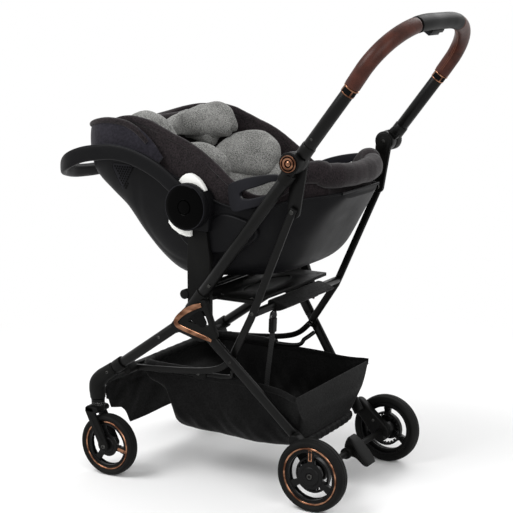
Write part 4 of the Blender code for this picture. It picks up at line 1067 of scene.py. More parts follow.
@dataclass
class Wheel:
    """One spoked wheel with its tyre.

    Attributes:
        place: "rear" or "front".
        side: the side of the frame.
        centre: axle point (x, z).
        radius: outer radius of the tyre.
        width: width of the tyre.
        hub_y: distance of its middle from the middle plane.
        spin: turn of the spokes in radians.
    """

    place: str
    side: Side
    centre: Vec2
    radius: float
    width: float
    hub_y: float
    spin: float

    @property
    def body(self) -> str:
        """Name of the body that turns with the wheel."""
        return f"{self.place}_wheel_{self.side.word}"

    def spot(self, angle: float, reach: float) -> Vector:
        """Point (x, z) at an angle in radians and a distance from the axle."""
        return Vector(along(self.centre, math.degrees(angle), reach))

    def build(self, sower: Sower) -> None:
        """Builds tyre, rim, trim and screw."""
        self.tyre()
        self.rim()
        self.trim(sower)

    def tyre(self) -> None:
        """Foam tyre with a rounded crown and two fine grooves."""
        crown, w = self.radius * 0.8, self.width
        rows = [(crown, self.hub_y - w / 2 + 0.004)]
        for a in np.linspace(0.06, math.pi - 0.06, 27):
            lift = math.sin(a) ** 0.62
            y = self.hub_y - w / 2 * math.copysign(abs(math.cos(a)) ** 0.8, math.cos(a))
            groove = 0.0011 if 0.26 < abs(y - self.hub_y) / (w / 2) < 0.36 else 0.0
            rows.append((crown + (self.radius - crown) * (0.30 + 0.70 * lift) - groove, y))
        rows.append((crown, self.hub_y + w / 2 - 0.004))
        tyre = turned("tyre", rows, *self.centre, self.side, 112)
        publish(tyre, f"{self.place}_tread_{self.side.word}", self.body, Look.TYRE,
                [f"{self.place}_tyre_{self.side.word}"])

    def ring(self, name: str, inner: float, outer: float, y0: float, y1: float, ease: float = 0.0006) -> Object:
        """Turned ring between two radii and two distances from the middle plane, its edges eased."""
        rows = [(inner, y0 + ease), (inner + ease, y0), (outer - ease, y0), (outer, y0 + ease), (outer, y1 - ease),
                (outer - ease, y1), (inner + ease, y1), (inner, y1 - ease)]
        return turned(name, rows, *self.centre, self.side)

    def rim(self) -> None:
        """Rim band with a stepped outer flange, three panelled spokes and a stepped hub."""
        r, (x, z) = self.radius, self.centre
        y0, y1 = self.hub_y - self.width / 2, self.hub_y + self.width / 2
        edge = r * 0.8 - GAP
        parts = [self.ring("band", edge - 0.0045, edge, y0 + 0.0045, y1 - 0.0045),
                 self.ring("flange", r * 0.66, edge - 0.003, y1 - 0.0105, y1 - 0.0062),
                 self.ring("lip", r * 0.655, r * 0.69, y1 - 0.0115, y1 - 0.0050),
                 self.ring("web", r * 0.64, edge - 0.003, self.hub_y - 0.004, self.hub_y - 0.001)]
        for k in range(3):
            a = self.spin + math.pi / 2 + 2 * math.pi * k / 3
            root, middle, tip = (self.spot(a, d) for d in (r * 0.15, r * 0.5, edge - 0.003))
            side = Vector((-math.sin(a), math.cos(a)))
            wide, slim = side * r * 0.115, side * r * 0.085
            outline = [tuple(p) for p in (root + wide, root - wide, middle - slim, tip - slim * 1.6,
                                          tip + slim * 1.6, middle + slim)]
            parts.append(prism("spoke", rounded(outline, 0.002), *self.side.span(self.hub_y - 0.001, y1 - 0.0068),
                               0.0009))
            for reach in (0.30, 0.40, 0.50, 0.60):
                ends = [tuple(self.spot(a, r * reach) + slim * f) for f in (0.9, -0.9)]
                parts.append(prism("web", band(ends, 0.0018), *self.side.span(self.hub_y - 0.005, self.hub_y)))
        rows = [(0, y0 + 0.001), (r * 0.2, y0 + 0.001), (r * 0.235, y0 + 0.003), (r * 0.235, y1 - 0.0095),
                (r * 0.365, y1 - 0.0085), (r * 0.375, y1 - 0.0072), (r * 0.365, y1 - 0.0060), (r * 0.27, y1 - 0.0052),
                (r * 0.262, y1 - 0.0040), (r * 0.245, y1 - 0.0030), (r * 0.11, y1 - 0.0026), (r * 0.10, y1 - 0.0044),
                (0, y1 - 0.0044)]
        parts.append(button("hub", rows, x, z, self.side))
        publish(join("rim", parts), f"{self.place}_rim_parts_{self.side.word}", self.body, Look.RIM,
                [f"{self.place}_rim_{self.side.word}"])

    def trim(self, sower: Sower) -> None:
        """Copper ring and spoke mark, the axle screw and, at the rear, the brake's teeth."""
        r, (x, z) = self.radius, self.centre
        y1 = self.hub_y + self.width / 2
        word = self.side.word
        mark = self.spin + math.pi / 2 + (4 * math.pi / 3 if self.place == "front" else 0)
        shape = rounded(band([self.spot(mark, r * 0.42), self.spot(mark, r * 0.74)], r * 0.11), 0.0012)
        inset = prism("mark", shape, *self.side.span(y1 - 0.0071, y1 - 0.0054), 0.0002)
        if self.place == "rear":
            shape = band([self.spot(mark, r * 0.445), self.spot(mark, r * 0.715)], r * 0.055)
            hollow = prism("hollow", shape, *self.side.span(y1 - 0.009, y1))
            inset = shade(combine(inset, [hollow], "DIFFERENCE"))
        ring = self.ring("ring", r * 0.752, r * 0.803, y1 - 0.0060, y1 - 0.0026, 0.0007)
        publish(join("trim", [ring, inset]), f"{self.place}_ring_{word}", self.body, Look.COPPER)
        sower.scatter(f"{self.place}_axle_screw_{word}", Fitting.SCREW,
                      [Spot((x, self.side.sign * (y1 - 0.0044), z), self.side.outward, r * 85)], self.body, Look.STEEL)
        if self.place == "rear":
            y = self.side.sign * (self.hub_y - 0.009)
            ringed = self.ring("drum", r * 0.44, r * 0.50, self.hub_y - 0.0105, self.hub_y + 0.001)
            publish(ringed, f"brake_ring_{word}", self.body, Look.RIM)
            teeth = [Spot(at(along((x, z), k * 15.0, r * 0.415), y), self.side.inward, 2.6) for k in range(24)]
            sower.scatter(f"brake_teeth_{word}", Fitting.TOOTH, teeth, self.body, Look.RIM)


@dataclass
class Caster:
    """Swivel fork under the front elbow.

    Attributes:
        side: the side of the frame.
        arm: thickness of a fork arm.
    """

    side: Side
    arm: float = 0.007

    def build(self, sower: Sower) -> None:
        """Builds the fork with its stem, screws and the ring of dots."""
        word, y = self.side.word, self.side.sign * TUBE_Y
        body, foot = f"caster_{word}", 2 * FRONT_R + 0.0042
        gap = 0.030 / 2 + 0.0012
        parts = [soften(rod("collar", (SWIVEL[0], y, foot), (SWIVEL[0], y, SWIVEL[1] - GAP), 0.0300, 56, 0), 0.0020),
                 rod("pin", (SWIVEL[0], y, foot + 0.005), (SWIVEL[0], y, SWIVEL[1] + 0.024), 2 * PIN_R)]
        top = rounded([(-0.5455, foot - 0.0005), (-0.513, foot - 0.0005), (-0.511, foot + 0.006),
                       (-0.515, foot + 0.012), (-0.541, foot + 0.014), (-0.5465, foot + 0.009)], 0.005)
        parts.append(prism("crown", top, y - gap - self.arm, y + gap + self.arm, 0.0022, 4))
        for step in (-1, 1):
            y0, y1 = sorted((y + step * gap, y + step * (gap + self.arm)))
            arm = capsule((-0.5350, foot + 0.004), (FRONT_X, FRONT_R), 0.0112, 0.0115)
            parts.append(prism("arm", arm, y0, y1, 0.0016, 4))
            slot = capsule((-0.5330, foot - 0.010), (FRONT_X - 0.006, FRONT_R + 0.014), 0.0030, 0.0034)
            face = sorted((y + step * (gap + self.arm - 0.0002), y + step * (gap + self.arm + 0.0006)))
            parts.append(prism("ridge", slot, *face, 0.0004))
        parts.append(disc("axle", FRONT_X, FRONT_R, PIN_R, y - gap - 0.001, y + gap + 0.001))
        publish(join("fork", parts), f"caster_fork_parts_{word}", body, Look.NYLON, [f"caster_fork_{word}"])
        faces = [Spot((FRONT_X, y + step * (gap + self.arm), FRONT_R), (0, step, 0), 5.2) for step in (-1, 1)]
        sower.scatter(f"fork_screws_{word}", Fitting.SCREW, faces, body, Look.STEEL)
        dots = []
        for k in range(20):
            for row in range(2):
                a = math.radians(k * 18 + row * 9)
                out = (math.cos(a), math.sin(a), 0.0)
                dots.append(Spot((SWIVEL[0] + 0.0150 * out[0], y + 0.0150 * out[1], foot + 0.0160 + row * 0.0042),
                                 out, 0.65))
        sower.scatter(f"swivel_dots_{word}", Fitting.DOT, dots, body, Look.BRIGHT)
        ring = [(SWIVEL[0], y, SWIVEL[1] - 0.0028), (SWIVEL[0], y, SWIVEL[1] - 0.0012)]
        publish(rod("seam", *ring, 0.0312, 56, 0.0003), f"swivel_ring_{word}", body, Look.RIM)


@dataclass
class SideFrame:
    """One side of the lower frame: tube, hinge half, leg joint, front leg, elbow and adaptor post.

    Attributes:
        side: the side of the frame.
        proud: how far the copper trim stands off the castings.
    """

    side: Side
    proud: float = 0.0007

    def build(self, sower: Sower) -> None:
        """Builds the side."""
        word, y = self.side.word, self.side.sign * TUBE_Y
        foot = along(ON_TUBE, TILT + 180, SOCKET_TO)
        top = along(foot, TILT + 180, GAP)
        publish(rod("tube", at(tube_point(0.4470), y), at(top, y), TUBE_D, 56), f"side_tube_{word}", "chassis",
                Look.TUBE, [f"main_tube_{word}"])
        self.housing(foot)
        refined(f"leg_joint_{word}", "chassis", Look.NYLON, 0.0013)
        (x0, z0), (x1, z1) = FRONT_LEG
        publish(rod("leg", (x0, y, z0), (x1, y, z1), 0.023, 56), f"front_leg_tube_{word}", "chassis", Look.TUBE,
                [f"front_leg_{word}"])
        self.elbow()
        refined(f"adaptor_post_{word}", "chassis", Look.NYLON, 0.0011)
        self.trim(sower)

    def elbow(self) -> None:
        """Smooth bend from the front leg down to the swivel, with a moulded seam at its upper end."""
        y = self.side.sign * TUBE_Y
        marks = [(-0.4795, y, 0.2490, 0.0300, 0.0285), (-0.4955, y, 0.2380, 0.0315, 0.0295),
                 (-0.5125, y, 0.2255, 0.0345, 0.0310), (-0.5250, y, 0.2105, 0.0372, 0.0320),
                 (-0.5275, y, 0.1960, 0.0372, 0.0320), (-0.5268, y, 0.1840, 0.0356, 0.0316),
                 (SWIVEL[0], y, SWIVEL[1] + 0.0002, 0.0340, 0.0312)]
        line = spline(marks, 34)
        bend = sweep("bend", line[:, :3], line[:, 4], line[:, 3], (0, 1, 0), 56, 2.2)
        bend = soften(bend, 0.0020, 60)
        bore = rod("bore", (SWIVEL[0], y, SWIVEL[1] - 0.010), (SWIVEL[0], y, SWIVEL[1] + 0.0260),
                   2 * PIN_R + 2 * GAP, 40, 0)
        bend = shade(combine(bend, [bore], "DIFFERENCE"))
        (x0, z0), (x1, z1) = FRONT_LEG
        run = Vector((x0 - x1, 0, z0 - z1)).normalized()
        start, end = Vector((x1, y, z1)) - run * 0.008, Vector((x1, y, z1)) - run * 0.001
        rim = soften(rod("rim", tuple(start), tuple(end), 0.0262, 56, 0), 0.0010)
        publish(join("elbow", [bend, rim]), f"front_elbow_parts_{self.side.word}", "chassis", Look.NYLON,
                [f"front_elbow_{self.side.word}"])

    def housing(self, foot: Vec2) -> None:
        """Fixed half of the fold hinge with its sleeve on the tube and its pin."""
        word, sign = self.side.word, self.side.sign
        out, y = TUBE_Y + TUBE_D / 2, sign * TUBE_Y
        y0, y1 = self.side.span(JOINT_Y, TUBE_Y + 0.025)
        head = along(ON_TUBE, TILT + 180, SOCKET_FROM)
        parts = [disc("drum", *HINGE, HINGE_R, y0, y1, 0.0016, 72),
                 prism("bridge", band([HINGE, along(ON_TUBE, TILT + 180, SOCKET_FROM + 0.008)], TUBE_D),
                       *self.side.span(JOINT_Y, out - 0.001), 0.0012),
                 soften(rod("sleeve", at(head, y), at(foot, y), TUBE_D + 0.005, 56, 0), 0.0010),
                 disc("pin", *HINGE, 0.006, *self.side.span(TUBE_Y - KNUCKLE_W - 0.001, TUBE_Y + 0.01)),
                 disc("cap", *HINGE, 0.0095, *self.side.span(TUBE_Y - KNUCKLE_W - GAP - 0.0025,
                                                             TUBE_Y - KNUCKLE_W - GAP)),
                 disc("rim", *HINGE, HINGE_R - 0.0045, *self.side.span(TUBE_Y + 0.02, CAP_Y), 0.0008, 72)]
        publish(join("housing", parts), f"hinge_housing_parts_{word}", "chassis", Look.NYLON,
                [f"hinge_housing_{word}"])

    def trim(self, sower: Sower) -> None:
        """Copper caps, the band round the joint's window, a black plate of painted shade in the window, and rivets."""
        word, sign = self.side.word, self.side.sign
        y = CAP_Y
        well = button("well", [(0, y - 0.002), (0.0183, y - 0.002), (0.0185, y + 0.0002), (0.0180, y + 0.0006),
                               (0, y + 0.0006)], *HINGE, self.side, 80)
        publish(well, f"cap_well_{word}", "chassis", Look.GLOSS)
        rings = [turned("ring", [(near, y - 0.001), (far, y - 0.001), (far, y + 0.0012), (far - 0.0006, y + 0.0022),
                                 (near + 0.0006, y + 0.0022), (near, y + 0.0012)], *HINGE, self.side, 80)
                 for near, far in ((0.0147, 0.0176), (0.0076, 0.0128))]
        cap = button("dome", [(0, y), (0.0052, y), (0.0051, y + 0.0012), (0.0036, y + 0.0022), (0, y + 0.0026)],
                     *HINGE, self.side, 48)
        joint = JOINT_Y + 0.012
        rise = TUBE_Y + 0.0152
        marks = [(-0.2405, 0.4240, rise), (-0.2670, 0.4135, rise - 0.0012), (-0.2900, 0.3990, rise - 0.0022),
                 (-0.3040, 0.3845, joint + 0.0012), (-0.3055, 0.3765, joint + 0.0010),
                 (-0.2990, 0.3705, joint + 0.0006), (-0.2830, 0.3655, joint + 0.0006),
                 (-0.2610, 0.3600, joint + 0.0006), (-0.2380, 0.3545, joint + 0.0006), (-0.2170, 0.3490, joint)]
        line = spline([(x, sign * y, z) for x, z, y in marks], 60)
        wide = np.interp(np.linspace(0, 1, 60), [0, 0.12, 0.5, 0.9, 1], [0.0085, 0.0125, 0.0105, 0.0090, 0.0060])
        sash = sweep("sash", line, 0.0022, wide, (0, 1, 0), 20, 2.6)
        publish(join("copper", [cap, *rings, soften(sash, 0.0003, 70)]), f"copper_trim_{word}", "chassis", Look.COPPER)
        # The window is a black plate of painted shade, standing for the shadow inside the leg joint's opening.
        window = rounded([(-0.2760, 0.3920), (-0.2420, 0.4130), (-0.2260, 0.3840), (-0.2400, 0.3740)], 0.008)
        publish(prism("window", window, *self.side.span(joint - 0.0006, joint + self.proud), 0.0005),
                f"joint_window_{word}", "chassis", Look.PIT)
        spots = [Spot(at(place, sign * (TUBE_Y + off)), self.side.outward, 3.8)
                 for place, off in (((-0.223, 0.466), TUBE_D / 2), ((-0.3515, 0.3388), 0.0115),
                                    ((-0.4900, 0.2410), 0.0138))]
        sower.scatter(f"frame_rivets_{word}", Fitting.RIVET, spots, "chassis", Look.STEEL)
        inner = sign * (TUBE_Y - KNUCKLE_W - GAP - 0.0025)
        sower.scatter(f"hinge_screw_{word}", Fitting.SCREW, [Spot(at(HINGE, inner), self.side.inward, 4.5)],
                      "chassis", Look.STEEL)


@dataclass
class FrontBar:
    """Cross bar between the elbows with the cloth shield under it.

    Attributes:
        edge: distance from the middle and height of the shield's lower edge.
    """

    edge: tuple[Vec2, ...] = ((0, 0.0900), (0.1130, 0.0900), (0.1225, 0.1105), (0.1305, 0.1225), (0.1435, 0.1335),
                              (0.1690, 0.1400), (0.1820, 0.1435), (0.1850, 0.1500), (0.1900, 0.1640),
                              (0.1985, 0.1680))

    def build(self, sower: Sower) -> None:
        """Builds bar and shield."""
        inner = TUBE_Y - 0.0125 - GAP
        publish(rod("bar", (-0.4835, -inner, 0.2360), (-0.4835, inner, 0.2360), 0.0138, 40), "front_bar", "chassis",
                Look.TUBE, ["front_cross_bar"])
        rows, steps = 97, 52
        skins = []
        for shift in (-0.0009, 0.0009):
            skin = []
            for i in range(steps):
                s = np.linspace(-1, 1, rows)
                y, t = s * 0.1985, i / (steps - 1)
                foot = np.interp(np.abs(y), *zip(*self.edge))
                z = 0.2350 + (foot - 0.2350) * t
                x = -0.4915 - 0.0255 * np.clip((0.2350 - z) / 0.032, 0, 1)
                sag = 0.0060 * (1 - s ** 2) * t
                ruck = 0.0006 * np.sin(s * 31 + i * 0.30) * np.abs(s) + 0.0009 * np.sin(s * 9 + i * 0.2)
                pleat = -0.0016 * math.exp(-((i - 17) / 1.6) ** 2)
                skin.append(np.stack([x + sag + ruck + pleat + shift, y, z], axis=1))
            skins.append(np.array(skin))
        piece = sheet_pair("apron", skins[0], skins[1])
        publish(piece, "front_shield", "chassis", Look.BASKET, ["front_apron"])
        seam = [(x + 0.0002, y, z) for x, y, z in skins[0][17, 3:-3]]
        sower.line("shield_seam", Fitting.STITCH, [(p[0] - 0.0009, p[1], p[2]) for p in seam], 0.0046, "chassis",
                   Look.WEB)


def sheet_pair(name: str, low: np.ndarray, high: np.ndarray) -> Object:
    """Closed sheet between two grids of points, with UVs in metres."""
    rows, columns = low.shape[:2]
    verts = np.concatenate([low.reshape(-1, 3), high.reshape(-1, 3)])

    def number(skin: int, i: int, k: int) -> int:
        """Number of a point of the lower or the upper grid."""
        return (skin * rows + i) * columns + k

    faces, charts = [], []
    down = np.concatenate([[0], np.cumsum(np.linalg.norm(np.diff(low[:, columns // 2], axis=0), axis=1))])
    across = np.concatenate([[0], np.cumsum(np.linalg.norm(np.diff(low[rows // 2], axis=0), axis=1))])
    for skin in (0, 1):
        for i in range(rows - 1):
            for k in range(columns - 1):
                faces.append((number(skin, i, k), number(skin, i, k + 1), number(skin, i + 1, k + 1),
                              number(skin, i + 1, k)))
                charts += [(down[i], across[k]), (down[i], across[k + 1]), (down[i + 1], across[k + 1]),
                           (down[i + 1], across[k])]
    for i in range(rows - 1):
        for k in (0, columns - 1):
            faces.append((number(0, i, k), number(0, i + 1, k), number(1, i + 1, k), number(1, i, k)))
            charts += [(down[i], 0.0), (down[i + 1], 0.0), (down[i + 1], 0.002), (down[i], 0.002)]
    for k in range(columns - 1):
        for i in (0, rows - 1):
            faces.append((number(0, i, k), number(0, i, k + 1), number(1, i, k + 1), number(1, i, k)))
            charts += [(0.0, across[k]), (0.0, across[k + 1]), (0.002, across[k + 1]), (0.002, across[k])]
    return shade(make(name, verts, faces, charts, weld=False), 60)


@dataclass
class PushHandle:
    """Bow handle with its hinge halves, strut brackets, grips, release housing and trigger.

    Attributes:
        grip: outer diameter of the grips.
        points: points of the grip line.
        covered: points under each padded grip.
        foot: distance from the hinge to the foot of the collars.
    """

    grip: float = 0.033
    points: int = 301
    covered: int = 118
    foot: float = 0.182

    def build(self, sower: Sower) -> None:
        """Builds the handle and its trim."""
        fine, blend = [handle_path(t) for t in np.linspace(0, 1, self.points)], 11
        for side, first, second in ((Side.LEFT, 0, blend), (Side.RIGHT, self.points - 1, self.points - 1 - blend)):
            start, end = Vector(at(along(ON_TUBE, TILT, self.foot), side.sign * TUBE_Y)), Vector(fine[second])
            for k in range(blend):
                d = 0.0165 + ((end - start).length - 0.0165) * k / blend
                fine[first - side.sign * k] = tuple(start + (end - start).normalized() * d)
        parts = []
        for side in Side:
            parts += self.lower(side)
        publish(join("handle", parts), "handle_tubes", "handle", Look.TUBE, ["push_handle"])
        rest = self.points - self.covered
        self.sleeve("left", fine[:self.covered])
        self.sleeve("right", fine[rest:])
        middle = sweep("middle", fine[self.covered + 1:rest - 1], self.grip + 0.001, self.grip + 0.001, SLOPE, 56)
        mid = handle_path(0.5)
        seat = along((mid[0], mid[2]), GRIP_TILT + 180, self.grip / 2 + 0.003)
        block = self.block(along(seat, GRIP_TILT, 0.001), 0.0290, 0.0040, 0.0150, 0.0018)
        publish(join("housing", [soften(middle, 0.0008, 60), block]), "release_housing", "handle", Look.NYLON,
                ["grip_housing"])
        key = self.block(along(seat, GRIP_TILT + 180, 0.0045), 0.0242, 0.0065, 0.0106, 0.0016)
        publish(key, "fold_trigger_key", "trigger", Look.GREY, ["fold_trigger"])
        for side in Side:
            self.collar(side)
            self.details(side, sower, fine)

    def lower(self, side: Side) -> list[Object]:
        """Tube, socket, knuckle and bracket of one side."""
        y = side.sign * TUBE_Y
        low, high = along(ON_TUBE, TILT, SOCKET_FROM), along(ON_TUBE, TILT, SOCKET_TO)
        foot, end = along(ON_TUBE, TILT, SOCKET_TO - 0.004), along(ON_TUBE, TILT, 0.190)
        plate = prism("bracket", capsule(HINGE, BRACKET_PIN, 0.0190, 0.0140),
                      *side.span(PLATE_Y - PLATE_T / 2, PLATE_Y + PLATE_T / 2), 0.0012)
        lift = PLATE_Y - PLATE_T / 2
        sunk = capsule(along(HINGE, 262, 0.034), along(BRACKET_PIN, 84, 0.022), 0.0100, 0.0080)
        shape = capsule(HINGE, BRACKET_PIN, 0.0186, 0.0136)
        raised = prism("frame", shape, *side.span(lift - 0.0026, lift + 0.001), 0.0012, 3)
        hollow = prism("hollow", sunk, *side.span(lift - 0.008, lift - 0.0008))
        raised = soften(combine(raised, [hollow], "DIFFERENCE"), 0.0003)
        pieces = [soften(rod("tube", at(foot, y), at(end, y), HANDLE_D, 56, 0), 0.0006),
                  soften(rod("socket", at(low, y), at(high, y), HANDLE_D + 0.003, 56, 0), 0.0010),
                  prism("bridge", band([HINGE, along(ON_TUBE, TILT, SOCKET_FROM + 0.008)], TUBE_D),
                        *side.span(TUBE_Y - HANDLE_D / 2 + 0.001, TUBE_Y), 0.0012),
                  disc("knuckle", *HINGE, HINGE_R - 0.001, *side.span(TUBE_Y - KNUCKLE_W, TUBE_Y), 0.0012, 72),
                  plate, raised,
                  disc("pin", *BRACKET_PIN, PIN_R, *side.span(PLATE_Y, STRUT_Y + 0.004 - GAP), 0.0005)]
        return pieces

    def sleeve(self, word: str, path: Sequence[Vec3]) -> None:
        """Padded grip: a sleeve that swells a little between its rolled ends."""
        line = spline(path, 120)
        t = np.linspace(0, 1, 120)
        ends = np.minimum(1, np.minimum(t, 1 - t) / 0.022)
        size = self.grip - 0.0022 + 0.0022 * np.sqrt(1 - (1 - ends) ** 2) + 0.0006 * np.sin(math.pi * t)
        publish(sweep("grip", line, size, size, SLOPE, 56), f"grip_cover_{word}", "handle", Look.LEATHER,
                [f"grip_{word}"])

    def block(self, centre: Vec2, half_y: float, half_s: float, half_n: float, bevel: float) -> Object:
        """Rounded block lying along the handle's slope."""
        a = math.radians(GRIP_TILT)
        s, n = Vector((math.cos(a), math.sin(a))), Vector((-math.sin(a), math.cos(a)))
        middle = Vector(centre)
        outline = [tuple(middle + s * i * half_s + n * j * half_n * 0.7)
                   for i, j in ((-1, -1), (1, -1), (1, 1), (-1, 1))]
        return prism("block", rounded(outline, 0.0015), -half_y, half_y, bevel, 3)

    def collar(self, side: Side) -> None:
        """Copper collar between tube and grip, with a black band of painted shade behind its windows."""
        y = side.sign * TUBE_Y

        def place(d: float) -> Vec3:
            """Point of the tube's middle line at a distance from the hinge."""
            return at(along(ON_TUBE, TILT, d), y)

        rings = [soften(rod("ring", place(a), place(b), d, 64, 0), 0.0004)
                 for a, b, d in ((0.1815, 0.1840, 0.0305), (0.1958, 0.1985, 0.0335))]
        for k in range(4):
            rings.append(rod("bar", place(0.1838), place(0.1962), 0.0045, 12, 0))
            a = math.radians(45 + 90 * k)
            run = Vector((math.cos(math.radians(TILT)), 0, math.sin(math.radians(TILT))))
            cross = Vector((0, 1, 0)) * math.cos(a) + run.cross(Vector((0, 1, 0))) * math.sin(a)
            rings[-1].data.transform(Matrix.Translation(cross * 0.0133))
        publish(join("collar", rings), f"grip_collar_{side.word}", "handle", Look.COPPER)
        # Black band of painted shade, seen between the collar's bars.
        publish(soften(rod("band", place(0.1836), place(0.1962), 0.0298, 64, 0), 0.0005),
                f"collar_band_{side.word}", "handle", Look.PIT)

    def details(self, side: Side, sower: Sower, fine: Sequence[Vec3]) -> None:
        """Rivets, ribs on the bracket, black dots of painted shade by the hinge and the grip's stitching."""
        word, sign = side.word, side.sign
        spots = [Spot(at(along(ON_TUBE, TILT, 0.066), sign * (TUBE_Y + HANDLE_D / 2)), side.outward, 3.0),
                 Spot(at(BRACKET_PIN, sign * (PLATE_Y - PLATE_T / 2 - 0.0024)), side.inward, 5.4),
                 Spot(at(BRACKET_PIN, sign * (STRUT_Y + STRUT_T / 2)), side.outward, 5.2)]
        sower.scatter(f"handle_rivets_{word}", Fitting.RIVET, spots, "handle", Look.STEEL)
        # The dots by the hinge are painted shade: flat black that takes no light.
        dots = []
        for row in range(3):
            for k in range(5):
                p = along(along(ON_TUBE, TILT, 0.030 + k * 0.0036), TILT + 90, (row - 1) * 0.0036)
                dots.append(Spot(at(p, sign * (TUBE_Y - (HANDLE_D + 0.003) / 2 + 0.0004)), side.inward,
                                 0.7))
        sower.scatter(f"socket_dots_{word}", Fitting.DOT, dots, "handle", Look.PIT)
        ribs = [at(along(along(HINGE, 263, 0.024 + 0.058 * k / 30), 353, 0.0168 - 0.0030 * k / 30), sign * PLATE_Y)
                for k in range(31)]
        sower.line(f"bracket_ribs_{word}", Fitting.RIB, ribs, 0.0032, "handle", Look.NYLON)
        part = fine[3:112] if sign < 0 else fine[189:298]
        line, slope = spline(part, 120), Vector(SLOPE)
        run = np.gradient(line, axis=0)
        for number, lean in enumerate((-0.0017, 0.0017)):
            path = []
            for p, r in zip(line, run):
                inner = Vector(r).normalized().cross(slope).normalized()
                inner = inner if inner.dot(Vector((0, -p[1], 0))) > 0 else -inner
                path.append(tuple(Vector(p) + inner * (self.grip / 2 + 0.0003) + slope * lean))
            sower.line(f"grip_stitches_{word}_{number}", Fitting.STITCH, path, 0.0042, "handle", Look.THREAD)


@dataclass
class Struts:
    """Flat struts from the handle to the rear legs, with the cloth sling and the strap between them.

    Attributes:
        wide: width of a strut.
    """

    wide: float = 0.017

    def build(self, sower: Sower) -> None:
        """Builds struts, tube, sling and strap."""
        foot = strut_foot()
        for side in Side:
            y = side.sign * STRUT_Y
            path = [at(along(BRACKET_PIN, 64.5, 0.009), y), at(along(BRACKET_PIN, 244.5, 0.012), y),
                    (CROSS[0] + 0.0045, side.sign * (TUBE_Y - 0.0221), CROSS[1] + 0.0100),
                    (CROSS[0] - 0.0045, side.sign * (TUBE_Y - 0.0229), CROSS[1] - 0.0100),
                    (STRUT_END[0] + 0.0060, side.sign * foot, STRUT_END[1] + 0.0130),
                    (STRUT_END[0] - 0.0040, side.sign * foot, STRUT_END[1] - 0.0085)]
            bar = sweep("strut", path, STRUT_T, self.wide, (0, 1, 0), 40, 3.0)
            publish(soften(bar, 0.0009, 60), f"strut_bar_{side.word}", "struts", Look.TUBE, [f"strut_{side.word}"])
            spots = [Spot(at(CROSS, side.sign * (CROSS_Y + STRUT_T / 2)), side.outward, 4.4),
                     Spot(at(CROSS, side.sign * (CROSS_Y - STRUT_T / 2)), side.inward, 4.4),
                     Spot(at(STRUT_END, side.sign * (foot - STRUT_T / 2)), side.inward, 4.4)]
            sower.scatter(f"strut_rivets_{side.word}", Fitting.RIVET, spots, "struts", Look.STEEL)
        end = CROSS_Y - STRUT_T / 2 - 0.0012
        publish(rod("cross", at(CROSS, -end), at(CROSS, end), 0.0170, 48), "cross_tube", "struts", Look.TUBE,
                ["seat_cross_tube"])
        self.sling(sower)
        self.strap()

    def sling(self, sower: Sower) -> None:
        """Cloth folded round the cross tube, its two layers sewn under it."""
        profile = spline([(-0.1478, 0, 0.4045), (-0.1498, 0, 0.4130), (-0.1480, 0, 0.4205), (-0.1390, 0, 0.4222),
                          (-0.1260, 0, 0.4185), (-0.1120, 0, 0.4140), (-0.1030, 0, 0.4105), (-0.1060, 0, 0.4068),
                          (-0.1240, 0, 0.4002), (-0.1400, 0, 0.3992)], 44, True)
        rings = []
        for i, y in enumerate(np.linspace(-0.112, 0.112, 91)):
            centre = profile.mean(axis=0)
            wrinkle = 1 + 0.030 * np.sin(np.arange(44) * 0.55 + y * 60) * math.sin(y * 23 + 1)
            grow = 1 - 0.05 * (1 if i in (0, 90) else 0)
            ring = centre + (profile - centre) * (wrinkle * grow)[:, None]
            ring[:, 1] = y
            rings.append(ring)
        piece = shade(loft("sling", np.array(rings)), 60)
        publish(piece, "seat_sleeve", "struts", Look.BASKET, ["seat_sling"])
        sower.line("sleeve_seam", Fitting.STITCH, [(-0.1085, y, 0.4076) for y in np.linspace(-0.134, 0.134, 60)],
                   0.0050, "struts", Look.WEB)

    def strap(self) -> None:
        """Webbing loop with its snap hook."""
        line = spline([(-0.1300, -0.117, 0.3990), (-0.1320, -0.117, 0.3720), (-0.1362, -0.117, 0.3300),
                       (-0.1440, -0.117, 0.2700), (-0.1500, -0.117, 0.2140)], 60)
        webbing = soften(sweep("strap", line, 0.021, 0.0022, (0, 1, 0), 20, 6.0), 0.0003, 70)
        publish(webbing, "strap_webbing", "struts", Look.WEB, ["basket_strap"])
        hook = rounded([(-0.1395, 0.3540), (-0.1275, 0.3540), (-0.1262, 0.3860), (-0.1384, 0.3860)], 0.003)
        body = prism("hook", hook, -0.1255, -0.1085, 0.0018, 3)
        loop = [(-0.1318, y, z) for y, z in ((-0.1285, 0.3865), (-0.1285, 0.3960), (-0.1230, 0.4000),
                                             (-0.1110, 0.4000), (-0.1055, 0.3960), (-0.1055, 0.3865))]
        ring = sweep("ring", spline(loop, 50, True), 0.0030, 0.0030, (1, 0, 0), 16, closed=True)
        gate = capsule((-0.1330, 0.3600), (-0.1322, 0.3780), 0.0036, 0.0030)
        latch = prism("gate", gate, -0.1275, -0.1065, 0.0010)
        publish(join("snap", [body, ring, latch]), "snap_hook", "struts", Look.NYLON)


